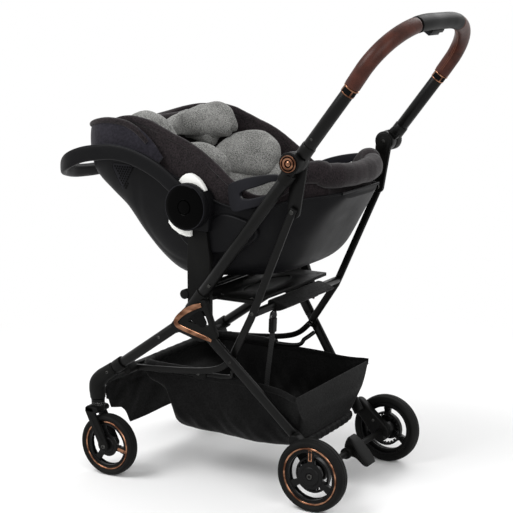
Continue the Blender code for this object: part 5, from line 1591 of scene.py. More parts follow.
@dataclass
class RearLegs:
    """Rear legs with their axle, hub housings and brake pedal.

    Attributes:
        length: length of a leg's bar along its line.
        hub_in: depth of a hub housing.
    """

    length: float = 0.285
    hub_in: float = 0.0215

    def build(self, sower: Sower) -> None:
        """Builds the pair, the axle and the brake."""
        housings = []
        for side in Side:
            housings += self.leg(side, sower)
        inner = HUB_FACE - self.hub_in + 0.004
        housings.append(rod("axle", (0, -inner, REAR_R), (0, inner, REAR_R), 0.014, 40))
        publish(join("axle", housings), "axle_and_hubs", "rear_legs", Look.NYLON, ["rear_axle"])
        self.brake()

    def leg(self, side: Side, sower: Sower) -> list[Object]:
        """One flat oval leg with its eye; returns the parts of its foot."""
        word, sign = side.word, side.sign
        path = [(x, sign * y, z) for x, y, z in (leg_line(d) for d in np.linspace(0.006, self.length, 30))]
        bar = soften(sweep("leg", path, REAR_T - 0.0008, REAR_W, (0, 1, 0), 48, 2.3), 0.0006, 60)
        eye = disc("eye", *PIVOT, 0.0125, *side.span(LEG_Y - REAR_T / 2, LEG_Y + REAR_T / 2), 0.0014)
        low = [(x, sign * y, z) for x, y, z in (leg_line(0.012), leg_line(0.052))]
        shoe = soften(sweep("shoe", low, REAR_T - 0.0001, REAR_W + 0.0008, (0, 1, 0), 48, 2.6), 0.0005, 60)
        publish(join("leg", [bar, eye, shoe]), f"rear_leg_tube_{word}", "rear_legs", Look.TUBE,
                [f"rear_leg_{word}"])
        x, y, z = leg_line(0.083)
        spots = [Spot((x, sign * (y + REAR_T / 2 - 0.0007), z), side.outward, 2.6),
                 Spot((x, sign * (y - REAR_T / 2 + 0.0007), z), side.inward, 2.6)]
        end, low_end = leg_line(self.length + GAP * 1.2), leg_line(self.length + 0.032)
        y0, y1 = side.span(HUB_FACE - GAP - 0.001 - self.hub_in, HUB_FACE - GAP - 0.001)
        shape = capsule((0.0, REAR_R), (end[0] + 0.012, end[2] - 0.010), 0.0215, 0.0140, 28)
        face = y1 if sign < 0 else y0
        spots += [Spot((x, face, REAR_R + rise), side.inward, size)
                  for x, rise, size in ((-0.0165, 0.026, 3.4), (0.0125, -0.011, 3.2), (-0.0120, -0.008, 3.2))]
        sower.scatter(f"leg_rivets_{word}", Fitting.SCREW, spots, "rear_legs", Look.STEEL)
        return [prism("hub", shape, y0, y1, 0.0040, 5),
                soften(sweep("socket", [(x, sign * y, z) for x, y, z in (end, low_end)], REAR_T + 0.005,
                             REAR_W + 0.003, (0, 1, 0), 48), 0.0010, 60),
                disc("stub", 0.0, REAR_R, PIN_R, *side.span(REAR_HUB_Y - 0.0265, REAR_HUB_Y + 0.0145), 0.0005)]

    def brake(self) -> None:
        """Foot pedal clamped round the axle, its tread ribbed."""
        collar = disc("collar", 0.0, REAR_R, 0.0125, -0.030, 0.030, 0.0012)
        shape = smooth_outline([(-0.010, 0.086), (-0.004, 0.1085), (0.004, 0.1110), (0.020, 0.0950), (0.036, 0.0740),
                                (0.0475, 0.0585), (0.0455, 0.0520), (0.036, 0.0535), (0.018, 0.0665),
                                (0.004, 0.0700)], 64)
        neck = prism("neck", shape, -0.017, 0.017, 0.0040, 5)
        rows = spline([(0.0005, 0, 0.1085, 0.030), (0.012, 0, 0.0985, 0.040), (0.028, 0, 0.0800, 0.047),
                       (0.0425, 0, 0.0625, 0.045), (0.0490, 0, 0.0545, 0.034)], 26)
        paddle = soften(sweep("paddle", rows[:, :3], rows[:, 3], 0.0095, (0, 1, 0), 40, 2.8), 0.0020, 60)
        publish(join("pedal", [collar, neck, paddle]), "brake_pedal_parts", "brake", Look.NYLON, ["brake_pedal"])


class Stays:
    """Stays from the rear legs to the sleeves that slide on the front legs."""

    def build(self, sower: Sower) -> None:
        """Builds both stays with their sleeves."""
        (x0, z0), (x1, z1) = FRONT_LEG
        run = Vector((x0 - x1, z0 - z1)).normalized()
        foot = Vector((x1, z1)) + run * 0.003
        pin = (foot.x + run.x * 0.011 + 0.0105, foot.y + run.y * 0.011 - 0.0155)
        stay_y = strut_foot() - 0.004 - GAP - 0.0036
        line = [tuple(p) for p in spline([pin, (-0.330, pin[1] + 0.0100), (-0.262, 0.2640), (-0.225, 0.2780),
                                          STRUT_END] @ np.array([[1, 0, 0], [0, 0, 1]]), 60)[:, [0, 2]]]
        for side in Side:
            word, sign = side.word, side.sign
            shape = band(line, 0.0130)
            bar = prism("stay", shape, *side.span(stay_y - 0.0025, stay_y + 0.0035), 0.0012, 3)
            publish(bar, f"stay_bar_{word}", "stays", Look.TUBE, [f"stay_link_{word}"])
            refined(f"stay_slider_{word}", "sliders", Look.NYLON, 0.0012)
            spots = [Spot(at(place, sign * (stay_y - 0.0025)), side.inward, 4.0) for place in (pin, (-0.199, 0.3))]
            sower.scatter(f"stay_rivets_{word}", Fitting.RIVET, spots, "stays", Look.STEEL)


class SeatSupport:
    """Tube and platform between the adaptor posts."""

    def build(self, sower: Sower) -> None:
        """Builds tube and platform."""
        inner = POST_Y - POST_T - GAP
        publish(rod("tube", (-0.301, -inner, 0.4346), (-0.301, inner, 0.4346), 0.016, 40), "front_tube", "chassis",
                Look.TUBE, ["seat_front_tube"])
        refined("seat_platform", "chassis", Look.NYLON, 0.0012)
        spots = [Spot((x, sign * 0.150, 0.4305), (0, 0, 1), 3.2) for x in (-0.238, -0.166) for sign in (-1, 1)]
        sower.scatter("platform_screws", Fitting.SCREW, spots, "chassis", Look.STEEL)


@dataclass
class Basket:
    """Cloth shopping basket hung between the rear legs, with its hem, sleeves and front tube.

    Attributes:
        hang: distance from the middle and height of the tube that the cloth hangs from.
    """

    hang: Vec2 = (BASKET_TUBE_Y, BASKET_TUBE_Z)

    @property
    def nose(self) -> list[Vec3]:
        """Left half of the bend at the front of the basket tube."""
        y, z = self.hang
        return [(-0.412, -y, z), (-0.438, -y + 0.010, z), (-0.4475, -y + 0.034, z), (-0.4495, -y + 0.075, z)]

    def stations(self) -> np.ndarray:
        """Rows of (x, bottom z, rim z, half width at the rim, half width low down), finely spaced."""
        rows = [(-0.446, 0.216, 0.244, 0.150, 0.147), (-0.436, 0.199, 0.244, 0.152, 0.148),
                (-0.412, 0.188, 0.244, 0.152, 0.148), (-0.395, 0.176, 0.244, 0.152, 0.148),
                (-0.386, 0.150, 0.244, 0.152, 0.148), (-0.380, 0.118, 0.244, 0.152, 0.147),
                (-0.366, 0.100, 0.244, 0.152, 0.147), (-0.320, 0.096, 0.244, 0.152, 0.146),
                (-0.250, 0.094, 0.244, 0.152, 0.145), (-0.160, 0.091, 0.243, 0.151, 0.141),
                (-0.120, 0.093, 0.240, 0.150, 0.136), (-0.095, 0.098, 0.238, 0.153, 0.130),
                (-0.072, 0.108, 0.236, 0.162, 0.126), (-0.058, 0.122, 0.235, 0.170, 0.128),
                (-0.046, 0.162, 0.234, 0.174, 0.146)]
        table = np.array(rows)
        x = np.linspace(table[0, 0], table[-1, 0], 90)
        smooth = spline(rows, 400)
        order = np.argsort(smooth[:, 0])
        return np.stack([x] + [np.interp(x, smooth[order, 0], smooth[order, k]) for k in range(1, 5)], axis=1)

    def build(self, sower: Sower) -> None:
        """Builds the bag, its hem and the tube at its front."""
        outer = self.stations()
        inner = outer + np.array([0.0, 0.0018, 0.0, -0.0018, -0.0018])
        inner[0, 0] += 0.0018
        inner[-1, 0] -= 0.0018
        bag = displaced(bucket("basket", outer, inner, 73, 5.0), self.sag)
        publish(bag, "basket_cloth", "rear_legs", Look.BASKET, ["basket"])
        self.hem(outer, sower)
        (y, z), edge = self.hang, strut_foot() + 0.0019
        half = [(-0.1905, -edge, 0.2800), (-0.206, -0.162, 0.2660), (-0.235, -y, z), *self.nose]
        path = spline(mirrored(half), 140)
        publish(sweep("tube", path, 0.010, 0.010, (0, 0, 1), 24), "basket_tube", "rear_legs", Look.TUBE,
                ["basket_front_tube"])

    def sag(self, co: np.ndarray) -> np.ndarray:
        """Folds in the hanging sides and soft waves in the floor."""
        depth = np.clip((0.240 - co[:, 2]) / 0.10, 0, 1)
        side = np.clip((np.abs(co[:, 1]) - 0.09) / 0.04, 0, 1)
        sway = (0.0030 * np.sin(co[:, 0] * 46 + co[:, 2] * 30) + 0.0022 * np.sin(co[:, 0] * 95 - co[:, 2] * 60)
                + 0.0012 * np.sin(co[:, 0] * 170 + co[:, 2] * 130)) * depth
        co[:, 1] += np.sign(co[:, 1]) * sway * side - np.sign(co[:, 1]) * 0.0035 * side * np.sin(depth * math.pi)
        floor = 1 - side
        co[:, 2] -= floor * depth * (0.0030 * np.cos(co[:, 1] * 12) + 0.0016 * np.sin(co[:, 0] * 40 + co[:, 1] * 25))
        return co

    def hem(self, outer: np.ndarray, sower: Sower) -> None:
        """Rolled hem along both rims and the back, with its stitches."""
        for side in Side:
            rim = [(r[0], side.sign * (r[3] - 0.0009), r[2] - 0.003) for r in outer]
            line = spline(rim, 110)
            roll = sweep("hem", line, 0.0150, 0.0042, (0, 0, 1), 20, 2.6)
            piece = publish(soften(roll, 0.0004, 70), f"basket_hem_{side.word}", "rear_legs", Look.BASKET)
            low = [(x, y + side.sign * 0.0019, z - 0.0052) for x, y, z in line]
            sower.line(f"basket_stitches_{side.word}", Fitting.STITCH, low, 0.0052, "rear_legs", Look.WEB)
        path = [(-0.0560 - 0.010 * (abs(y) / 0.12) ** 4, y, 0.1180) for y in np.linspace(-0.120, 0.120, 40)]
        t = np.arange(70)
        size = 0.0165 * (1 + 0.06 * np.sin(t * 0.9) + 0.04 * np.sin(t * 2.1))
        piece = publish(soften(sweep("roll", spline(path, 70), size * 1.15, size, (0, 0, 1), 28, 2.2), 0.003, 70),
                        "basket_back_roll", "rear_legs", Look.BASKET)
        y, z = self.hang
        path = spline(mirrored([(-0.290, -y, z), (-0.350, -y, z), *self.nose]), 150)
        t = np.arange(150)
        size = 0.0178 * (1 + 0.03 * np.sin(t * 0.8) + 0.02 * np.sin(t * 1.9))
        sleeve = soften(sweep("sleeve", path, size * 1.12, size, (0, 0, 1), 28, 2.2), 0.0015, 70)
        piece = publish(sleeve, "tube_sleeve", "rear_legs", Look.BASKET)
        lugs, screws = [], []
        for side in Side:
            pad = capsule((-0.3010, z - 0.0005), (-0.2860, z - 0.0010), 0.0105, 0.0105)
            lugs.append(prism("lug", pad, *side.span(y - 0.0085, y + 0.0085), 0.0020, 3))
            screws.append(Spot((-0.2950, side.sign * (y + 0.0085), z), side.outward, 4.2))
        publish(join("lugs", lugs), "basket_lugs", "rear_legs", Look.NYLON)
        sower.scatter("basket_rivets", Fitting.RIVET, screws, "rear_legs", Look.STEEL)


# The infant seat

SHELL_ROWS = [(-0.600, 0.697, 0.703, 0.085, 0.080), (-0.592, 0.690, 0.704, 0.118, 0.112),
              (-0.577, 0.672, 0.706, 0.148, 0.140), (-0.556, 0.645, 0.708, 0.165, 0.152),
              (-0.517, 0.613, 0.710, 0.178, 0.162), (-0.480, 0.580, 0.712, 0.184, 0.166),
              (-0.440, 0.528, 0.711, 0.187, 0.170), (-0.395, 0.482, 0.704, 0.188, 0.174),
              (-0.350, 0.456, 0.690, 0.189, 0.178), (-0.300, 0.456, 0.668, 0.189, 0.180),
              (-0.249, 0.460, 0.645, 0.189, 0.180), (-0.200, 0.466, 0.630, 0.189, 0.178),
              (-0.150, 0.473, 0.628, 0.186, 0.170), (-0.108, 0.484, 0.634, 0.178, 0.156),
              (-0.072, 0.512, 0.646, 0.163, 0.140), (-0.040, 0.566, 0.652, 0.143, 0.125),
              (-0.010, 0.615, 0.656, 0.115, 0.105), (0.014, 0.646, 0.660, 0.078, 0.072)]
RIM_Z = [0.770, 0.785, 0.788, 0.778, 0.766, 0.748, 0.716, 0.678, 0.650, 0.655, 0.684, 0.706, 0.704]
FLOOR_Z = [0.700, 0.660, 0.618, 0.574, 0.540, 0.520, 0.514, 0.520, 0.534, 0.553, 0.580, 0.614, 0.655]
WING_Z = [0.715, 0.715, 0.712, 0.705, 0.745, 0.742, 0.700, 0.645, 0.605, 0.600, 0.612, 0.640, 0.680]
SHELL_T, COVER_T, COVER_SLACK, PAD_T = 0.004, 0.011, 0.003, 0.024
SQUARE = 4.5
PRESSURE, LAST_FRAME, SWELL = 4.0, 20, 0.005


def eased(rows: Sequence[Sequence[float]], count: int) -> np.ndarray:
    """Smooth stations at even steps of x."""
    table = np.array(rows, float)
    fine = spline(table, 800)
    order = np.argsort(fine[:, 0])
    x = table[0, 0] + (table[-1, 0] - table[0, 0]) * (1 - np.cos(np.linspace(0, math.pi, count))) / 2
    return np.stack([x] + [np.interp(x, fine[order, 0], fine[order, k]) for k in range(1, table.shape[1])], axis=1)


def shell_side(x: float, z: float) -> float:
    """Half width of the shell's outside at a point of its side."""
    table = np.array(SHELL_ROWS)
    low, high, half, foot = (np.interp(x, table[:, 0], table[:, k]) for k in range(1, 5))
    drop = min(1.0, max(0.0, (high - z) / (high - low)))
    reach = max(0.0, 1 - drop ** SQUARE) ** (1 / SQUARE)
    return float(reach * (half + (foot - half) * drop))


def cover_rows(inner: bool) -> list[tuple[float, ...]]:
    """Stations of the cover's outer or inner skin."""
    inset, rows = SHELL_T + COVER_SLACK, []
    for (x, low, _, half, foot), rim, floor in zip(SHELL_ROWS[4:-1], RIM_Z, FLOOR_Z):
        deep = inset + COVER_T if inner else inset
        rows.append((x, floor if inner else low + inset, rim, half - deep, foot - deep))
    if inner:
        rows[0] = (rows[0][0] + 0.012, rows[0][1] - 0.012) + rows[0][2:]
        rows[-1] = (rows[-1][0] - 0.012, rows[-1][1] - 0.015) + rows[-1][2:]
    return rows


def pad_height(x: float, y: float) -> float:
    """Height of the insert's top surface."""
    xs = [row[0] for row in SHELL_ROWS[4:-1]]
    base = float(np.interp(x, xs, FLOOR_Z)) + PAD_T
    wing = float(np.interp(x, xs, WING_Z))
    share = min(1.0, max(0.0, (abs(y) - 0.072) / 0.050))
    return base + (wing - base) * share * share * (3 - 2 * share)


@dataclass
class Shell:
    """Moulded shell of the infant seat with its lugs over the adaptors.

    Attributes:
        crease: depth of the crease along the side.
    """

    crease: float = 0.0030

    def build(self, sower: Sower) -> None:
        """Builds the shell and its trim."""
        outer = eased(SHELL_ROWS, 96)
        inner = outer + np.array([0, SHELL_T, 0, -SHELL_T, -SHELL_T])
        inner[0, 0] += 0.003
        inner[-1, 0] -= 0.003
        inner[[0, -1], 1] = outer[[0, -1], 1] + 0.003
        parts = [displaced(bucket("shell", outer, inner, 89, SQUARE), self.form)]
        base = rounded([(-0.301, 0.5753), (-0.239, 0.5753), (-0.236, 0.640), (-0.304, 0.640)], 0.004)
        hole = [(-0.2845, 0.57), (-0.2555, 0.57), (-0.2555, 0.6003), (-0.2845, 0.6003)]
        for side in Side:
            parts.append(disc("lug", *HUB, 0.036, *side.span(SHELL_W - 0.0055, POST_Y + 0.0085), 0.0016, 72))
            block = prism("block", base, *side.span(SHELL_W - 0.0060, POST_Y + 0.003))
            drum = disc("drum", *HUB, 0.0478, *side.span(SHELL_W - 0.0060, POST_Y + 0.0078), 0.0016, 96)
            well, pocket = (prism("hole", hole, *side.span(POST_Y - 0.0105, POST_Y - 0.0015)) for _ in range(2))
            parts.append(shade(combine(drum, [pocket], "DIFFERENCE")))
            parts.append(soften(combine(block, [well], "DIFFERENCE"), 0.0014))
        publish(join("shell", parts), "seat_shell_body", "car_seat", Look.SHELL, ["seat_shell"])
        self.lip(outer)
        for side in Side:
            self.trim(side, sower)

    def form(self, co: np.ndarray) -> np.ndarray:
        """Adds the crease along the side and the hollow behind it."""
        line = 0.560 + (co[:, 0] + 0.05) * -0.28
        below = np.clip((line - co[:, 2]) / 0.012, 0, 1)
        reach = np.clip((co[:, 0] + 0.235) / 0.05, 0, 1) * np.clip((0.0 - co[:, 0]) / 0.05, 0, 1)
        flank = np.clip((np.abs(co[:, 1]) - 0.10) / 0.03, 0, 1)
        co[:, 1] -= np.sign(co[:, 1]) * self.crease * below * reach * flank
        front = np.clip((-0.31 - co[:, 0]) / 0.03, 0, 1) * flank
        arc = np.exp(-((np.hypot(co[:, 0] + 0.300, co[:, 2] - 0.628) - 0.135) / 0.0045) ** 2)
        co[:, 1] -= np.sign(co[:, 1]) * 0.0016 * arc * front
        return co

    def lip(self, outer: np.ndarray) -> None:
        """Bead along the shell's rim."""
        rim = [(r[0], r[3] - 0.0012, r[2] + 0.0004) for r in outer[2:-2]]
        bead = sweep("bead", spline(mirrored(rim), 260, True), 0.0062, 0.0056, (0, 0, 1), 16, 2.6, True)
        publish(bead, "shell_bead", "car_seat", Look.SHELL)

    def trim(self, side: Side, sower: Sower) -> None:
        """White liner arcs behind the hub, the fairing and the vent's perforations, drawn as black hexagons of painted
        shade.
        """
        word, sign = side.word, side.sign
        arcs = []
        upper = ((44, 0.0500), (48, 0.0515), (57, 0.0548), (66, 0.0588), (76, 0.0625), (85, 0.0660), (92, 0.0680),
                 (100, 0.0675), (108, 0.0645), (115, 0.0610), (121, 0.0577), (126, 0.0535))
        lower = ((206, 0.0600), (216, 0.0690), (228, 0.0695), (245, 0.0685), (260, 0.0672), (270, 0.0655))
        for rim in (upper, lower):
            outer = [along(HUB, a, r) for a, r in rim]
            inner = circle(*HUB, 0.0470, 20, rim[-1][0], rim[0][0])
            arcs.append(prism("arc", rounded(outer + inner, 0.0015, 3), *side.span(0.1965, 0.2085), 0.0014))
        publish(join("arcs", arcs), f"liner_arcs_{word}", "car_seat", Look.WHITE)
        fair = [(-0.330, 0.596), (-0.318, 0.556), (-0.285, 0.534), (-0.225, 0.530), (-0.165, 0.545), (-0.130, 0.574),
                (-0.145, 0.600), (-0.200, 0.614), (-0.232, 0.606), (-0.260, 0.576), (-0.300, 0.576)]
        fairing = prism("fairing", smooth_outline(fair, 70), *side.span(0.1780, 0.1925), 0.0045, 5)
        publish(fairing, f"hub_fairing_{word}", "car_seat", Look.SHELL)
        low, high = [], []
        for z in np.linspace(0.6440, 0.7010, 24):
            share = (z - 0.6440) / 0.0570
            xs = np.linspace(-0.4790 - 0.0285 * share, -0.4770 + 0.0390 * share, 24)
            low.append([(x, sign * (shell_side(x, z) - 0.0015), z) for x in xs])
            high.append([(x, sign * (shell_side(x, z) + 0.0005), z) for x in xs])
        publish(sheet_pair("panel", np.array(low), np.array(high)), f"vent_panel_{word}", "car_seat", Look.GREY)
        # Each perforation is a black hexagon of painted shade, standing for the shadow inside the hole.
        holes = []
        for row in range(10):
            for col in range(10):
                x, z = -0.500 + col * 0.0072 + (row % 2) * 0.0036, 0.694 - row * 0.0052
                if x < -0.496 + row * 0.0028 or x > -0.442 - max(0, row - 1) * 0.0030:
                    continue
                holes.append(Spot((x, sign * (shell_side(x, z) + 0.0008), z), side.outward, 2.5))
        sower.scatter(f"vent_holes_{word}", Fitting.HEX, holes, "car_seat", Look.PIT)
        corners = rounded([(-0.5075, 0.7005), (-0.4380, 0.7005), (-0.4790, 0.6420)], 0.010, 8)
        line = spline([(x, sign * (shell_side(x, z) + 0.0002), z) for x, z in corners], 80, True)
        edge = sweep("edge", line, 0.0022, 0.0022, (0, 1, 0), 12, closed=True)
        publish(edge, f"vent_edge_{word}", "car_seat", Look.SHELL)


@dataclass
class CarryHandle:
    """Carrying handle with its two hubs and release buttons.

    Attributes:
        reach: distance from the hubs to the middle of the bow, along x.
        hub_r: radius of a hub.
        hub_t: thickness of a hub.
    """

    reach: float = 0.391
    hub_r: float = 0.050
    hub_t: float = 0.0225

    def build(self) -> None:
        """Builds the bow, the hubs and the buttons."""
        face = POST_Y + 0.0085 + GAP
        y = face + 0.012 / 2 + 0.0015
        moves = [(-0.022, 0, 0.030), (-0.075, 0, 0.068), (-0.135, 0, 0.093), (-0.192, 0, 0.102), (-0.248, 0, 0.096),
                 (-0.287, 0.001, 0.087), (-0.321, 0.008, 0.072), (-0.349, 0.032, 0.056), (-0.371, 0.074, 0.043),
                 (-0.384, 0.125, 0.033)]
        thin = [0.012] * 7 + [0.016, 0.020, 0.023]
        wide = [0.034] * 7 + [0.032, 0.030, 0.029]
        half = [(HUB[0] + dx, dy - y, HUB[1] + dz, w, t) for (dx, dy, dz), w, t in zip(moves, wide, thin)]
        line = spline(mirrored(half, [(HUB[0] - self.reach, 0.0, HUB[1] + 0.027, 0.028, 0.024)]), 200)
        parts = [sweep("bow", line[:, :3], line[:, 3], line[:, 4], (0, 0, 1), 44, 3.0)]
        parts += [self.hub(side, face) for side in Side]
        publish(join("carry", parts), "carry_bow", "carry", Look.SHELL, ["carry_handle"])
        edge = [(p[0], p[1] * 1.001, p[2] + p[3] / 2 * 0.965) for p in line]
        strip = sweep("strip", edge, 0.0026, np.minimum(line[:, 4] * 0.62, 0.0105), (0, 0, 1), 16, 3.0)
        publish(strip, "carry_edge", "carry", Look.GREY)
        for side in Side:
            self.lens(side, face)

    def hub(self, side: Side, face: float) -> Object:
        """Barrel of one hub with the button's well left open."""
        r, out = self.hub_r, face + self.hub_t
        rows = [(0.0156, face), (r - 0.0035, face), (r - 0.0006, face + 0.002), (r, face + 0.005), (r, out - 0.0045),
                (r - 0.0012, out - 0.0024), (r - 0.0030, out - 0.0020), (0.0170, out - 0.0020), (0.0156, out - 0.0030)]
        return turned("hub", rows, *HUB, side, 112)

    def lens(self, side: Side, face: float) -> None:
        """Glossy lens round the button and the button itself, both left plain."""
        out, word = face + self.hub_t, side.word
        rows = [(0.0158, out - 0.0022), (0.0450, out - 0.0022), (0.0468, out - 0.0014), (0.0455, out - 0.0004),
                (0.0380, out + 0.0006), (0.0250, out + 0.0014), (0.0166, out + 0.0014), (0.0158, out + 0.0008)]
        publish(turned("lens", rows, *HUB, side, 112), f"hub_lens_{word}", "carry", Look.GLOSS)
        ring = [(0.0466, out - 0.0022), (0.0484, out - 0.0022), (0.0486, out - 0.0012), (0.0477, out - 0.0007),
                (0.0468, out - 0.0012)]
        publish(turned("ring", ring, *HUB, side, 112), f"hub_ring_{word}", "carry", Look.GREY)
        knob = [(0, out - 0.0045), (0.0146, out - 0.0045), (0.0149, out - 0.0006), (0.0140, out + 0.0010),
                (0.0090, out + 0.0016), (0, out + 0.0018)]
        publish(button("knob", knob, *HUB, side, 80), f"release_button_{word}", f"release_{word}", Look.GLOSS,
                [f"handle_button_{word}"])


def cushion(name: str, outline: Sequence[Vec3], normal: Vec3, thick: float, seed: float = 0.0) -> Object:
    """Plump cushion inside a closed outline of points.

    Args:
        name: name of the object.
        outline: points round its seam, in the maker's frame.
        normal: direction in which it bulges most.
        thick: full thickness at the middle.
        seed: shifts the soft dents.

    Returns:
        The closed, smooth object.
    """
    rim = spline(outline, 84, True)[:, :3]
    centre, face = rim.mean(axis=0), np.array(Vector(normal).normalized())

    def ring(r: float, sign: int) -> np.ndarray:
        """Points of the cushion's skin at a share of the way from its middle to its seam."""
        flat = centre + (rim - centre) * max(r, 0.004)
        swell = thick / 2 * (1 - r ** 2.4) ** 0.55
        dent = 0.0016 * np.sin(flat[:, 0] * 75 + seed) * np.cos(flat[:, 2] * 60 + seed) * (1 - r)
        pucker = 0.0009 * np.sin(np.arange(84) * 0.9 + seed) * math.exp(-((r - 0.88) / 0.09) ** 2)
        return flat + face * (sign * (swell + dent + pucker))[:, None]

    steps = 1 - (1 - np.linspace(0, 1, 22)) ** 1.6
    rings = [ring(r, 1) for r in steps[:-1]] + [rim] + [ring(r, -1) for r in steps[-2::-1]]
    return shade(loft(name, np.array(rings)), 80)


def puffed(obj: Object, cap: float, voxel: float = 0.005) -> Object:
    """Lets a padded piece swell under its own pressure, and leaves no simulation on it.

    Args:
        obj: the closed piece, in the maker's frame.
        cap: farthest that a point may move, in metres.
        voxel: edge of the remesh that the cloth runs on.
    """
    remesh = obj.modifiers.new("even", "REMESH")
    remesh.mode, remesh.voxel_size = "VOXEL", voxel
    bake(obj)
    start = points_of(obj)
    cloth = obj.modifiers.new("swell", "CLOTH")
    cloth.settings.use_pressure = True
    cloth.settings.uniform_pressure_force = PRESSURE
    cloth.settings.effector_weights.gravity = 0.0
    for number in range(1, LAST_FRAME + 1):
        bpy.context.scene.frame_set(number)
    shown = obj.evaluated_get(bpy.context.evaluated_depsgraph_get())
    moved = points_of(shown)
    obj.modifiers.remove(cloth)
    bpy.context.scene.frame_set(1)
    step = moved - start
    reach = np.linalg.norm(step, axis=1, keepdims=True)
    end = start + step * np.minimum(1.0, cap / np.maximum(reach, 1e-9))
    obj.data.vertices.foreach_set("co", end.astype(np.float32).ravel())
    obj.modifiers.new("fine", "SUBSURF").levels = 1
    bake(obj)
    LOG.info("%s swells by up to %.1f mm", obj.name, 1000 * float(np.minimum(reach, cap).max()))
    return shade(obj, 80)


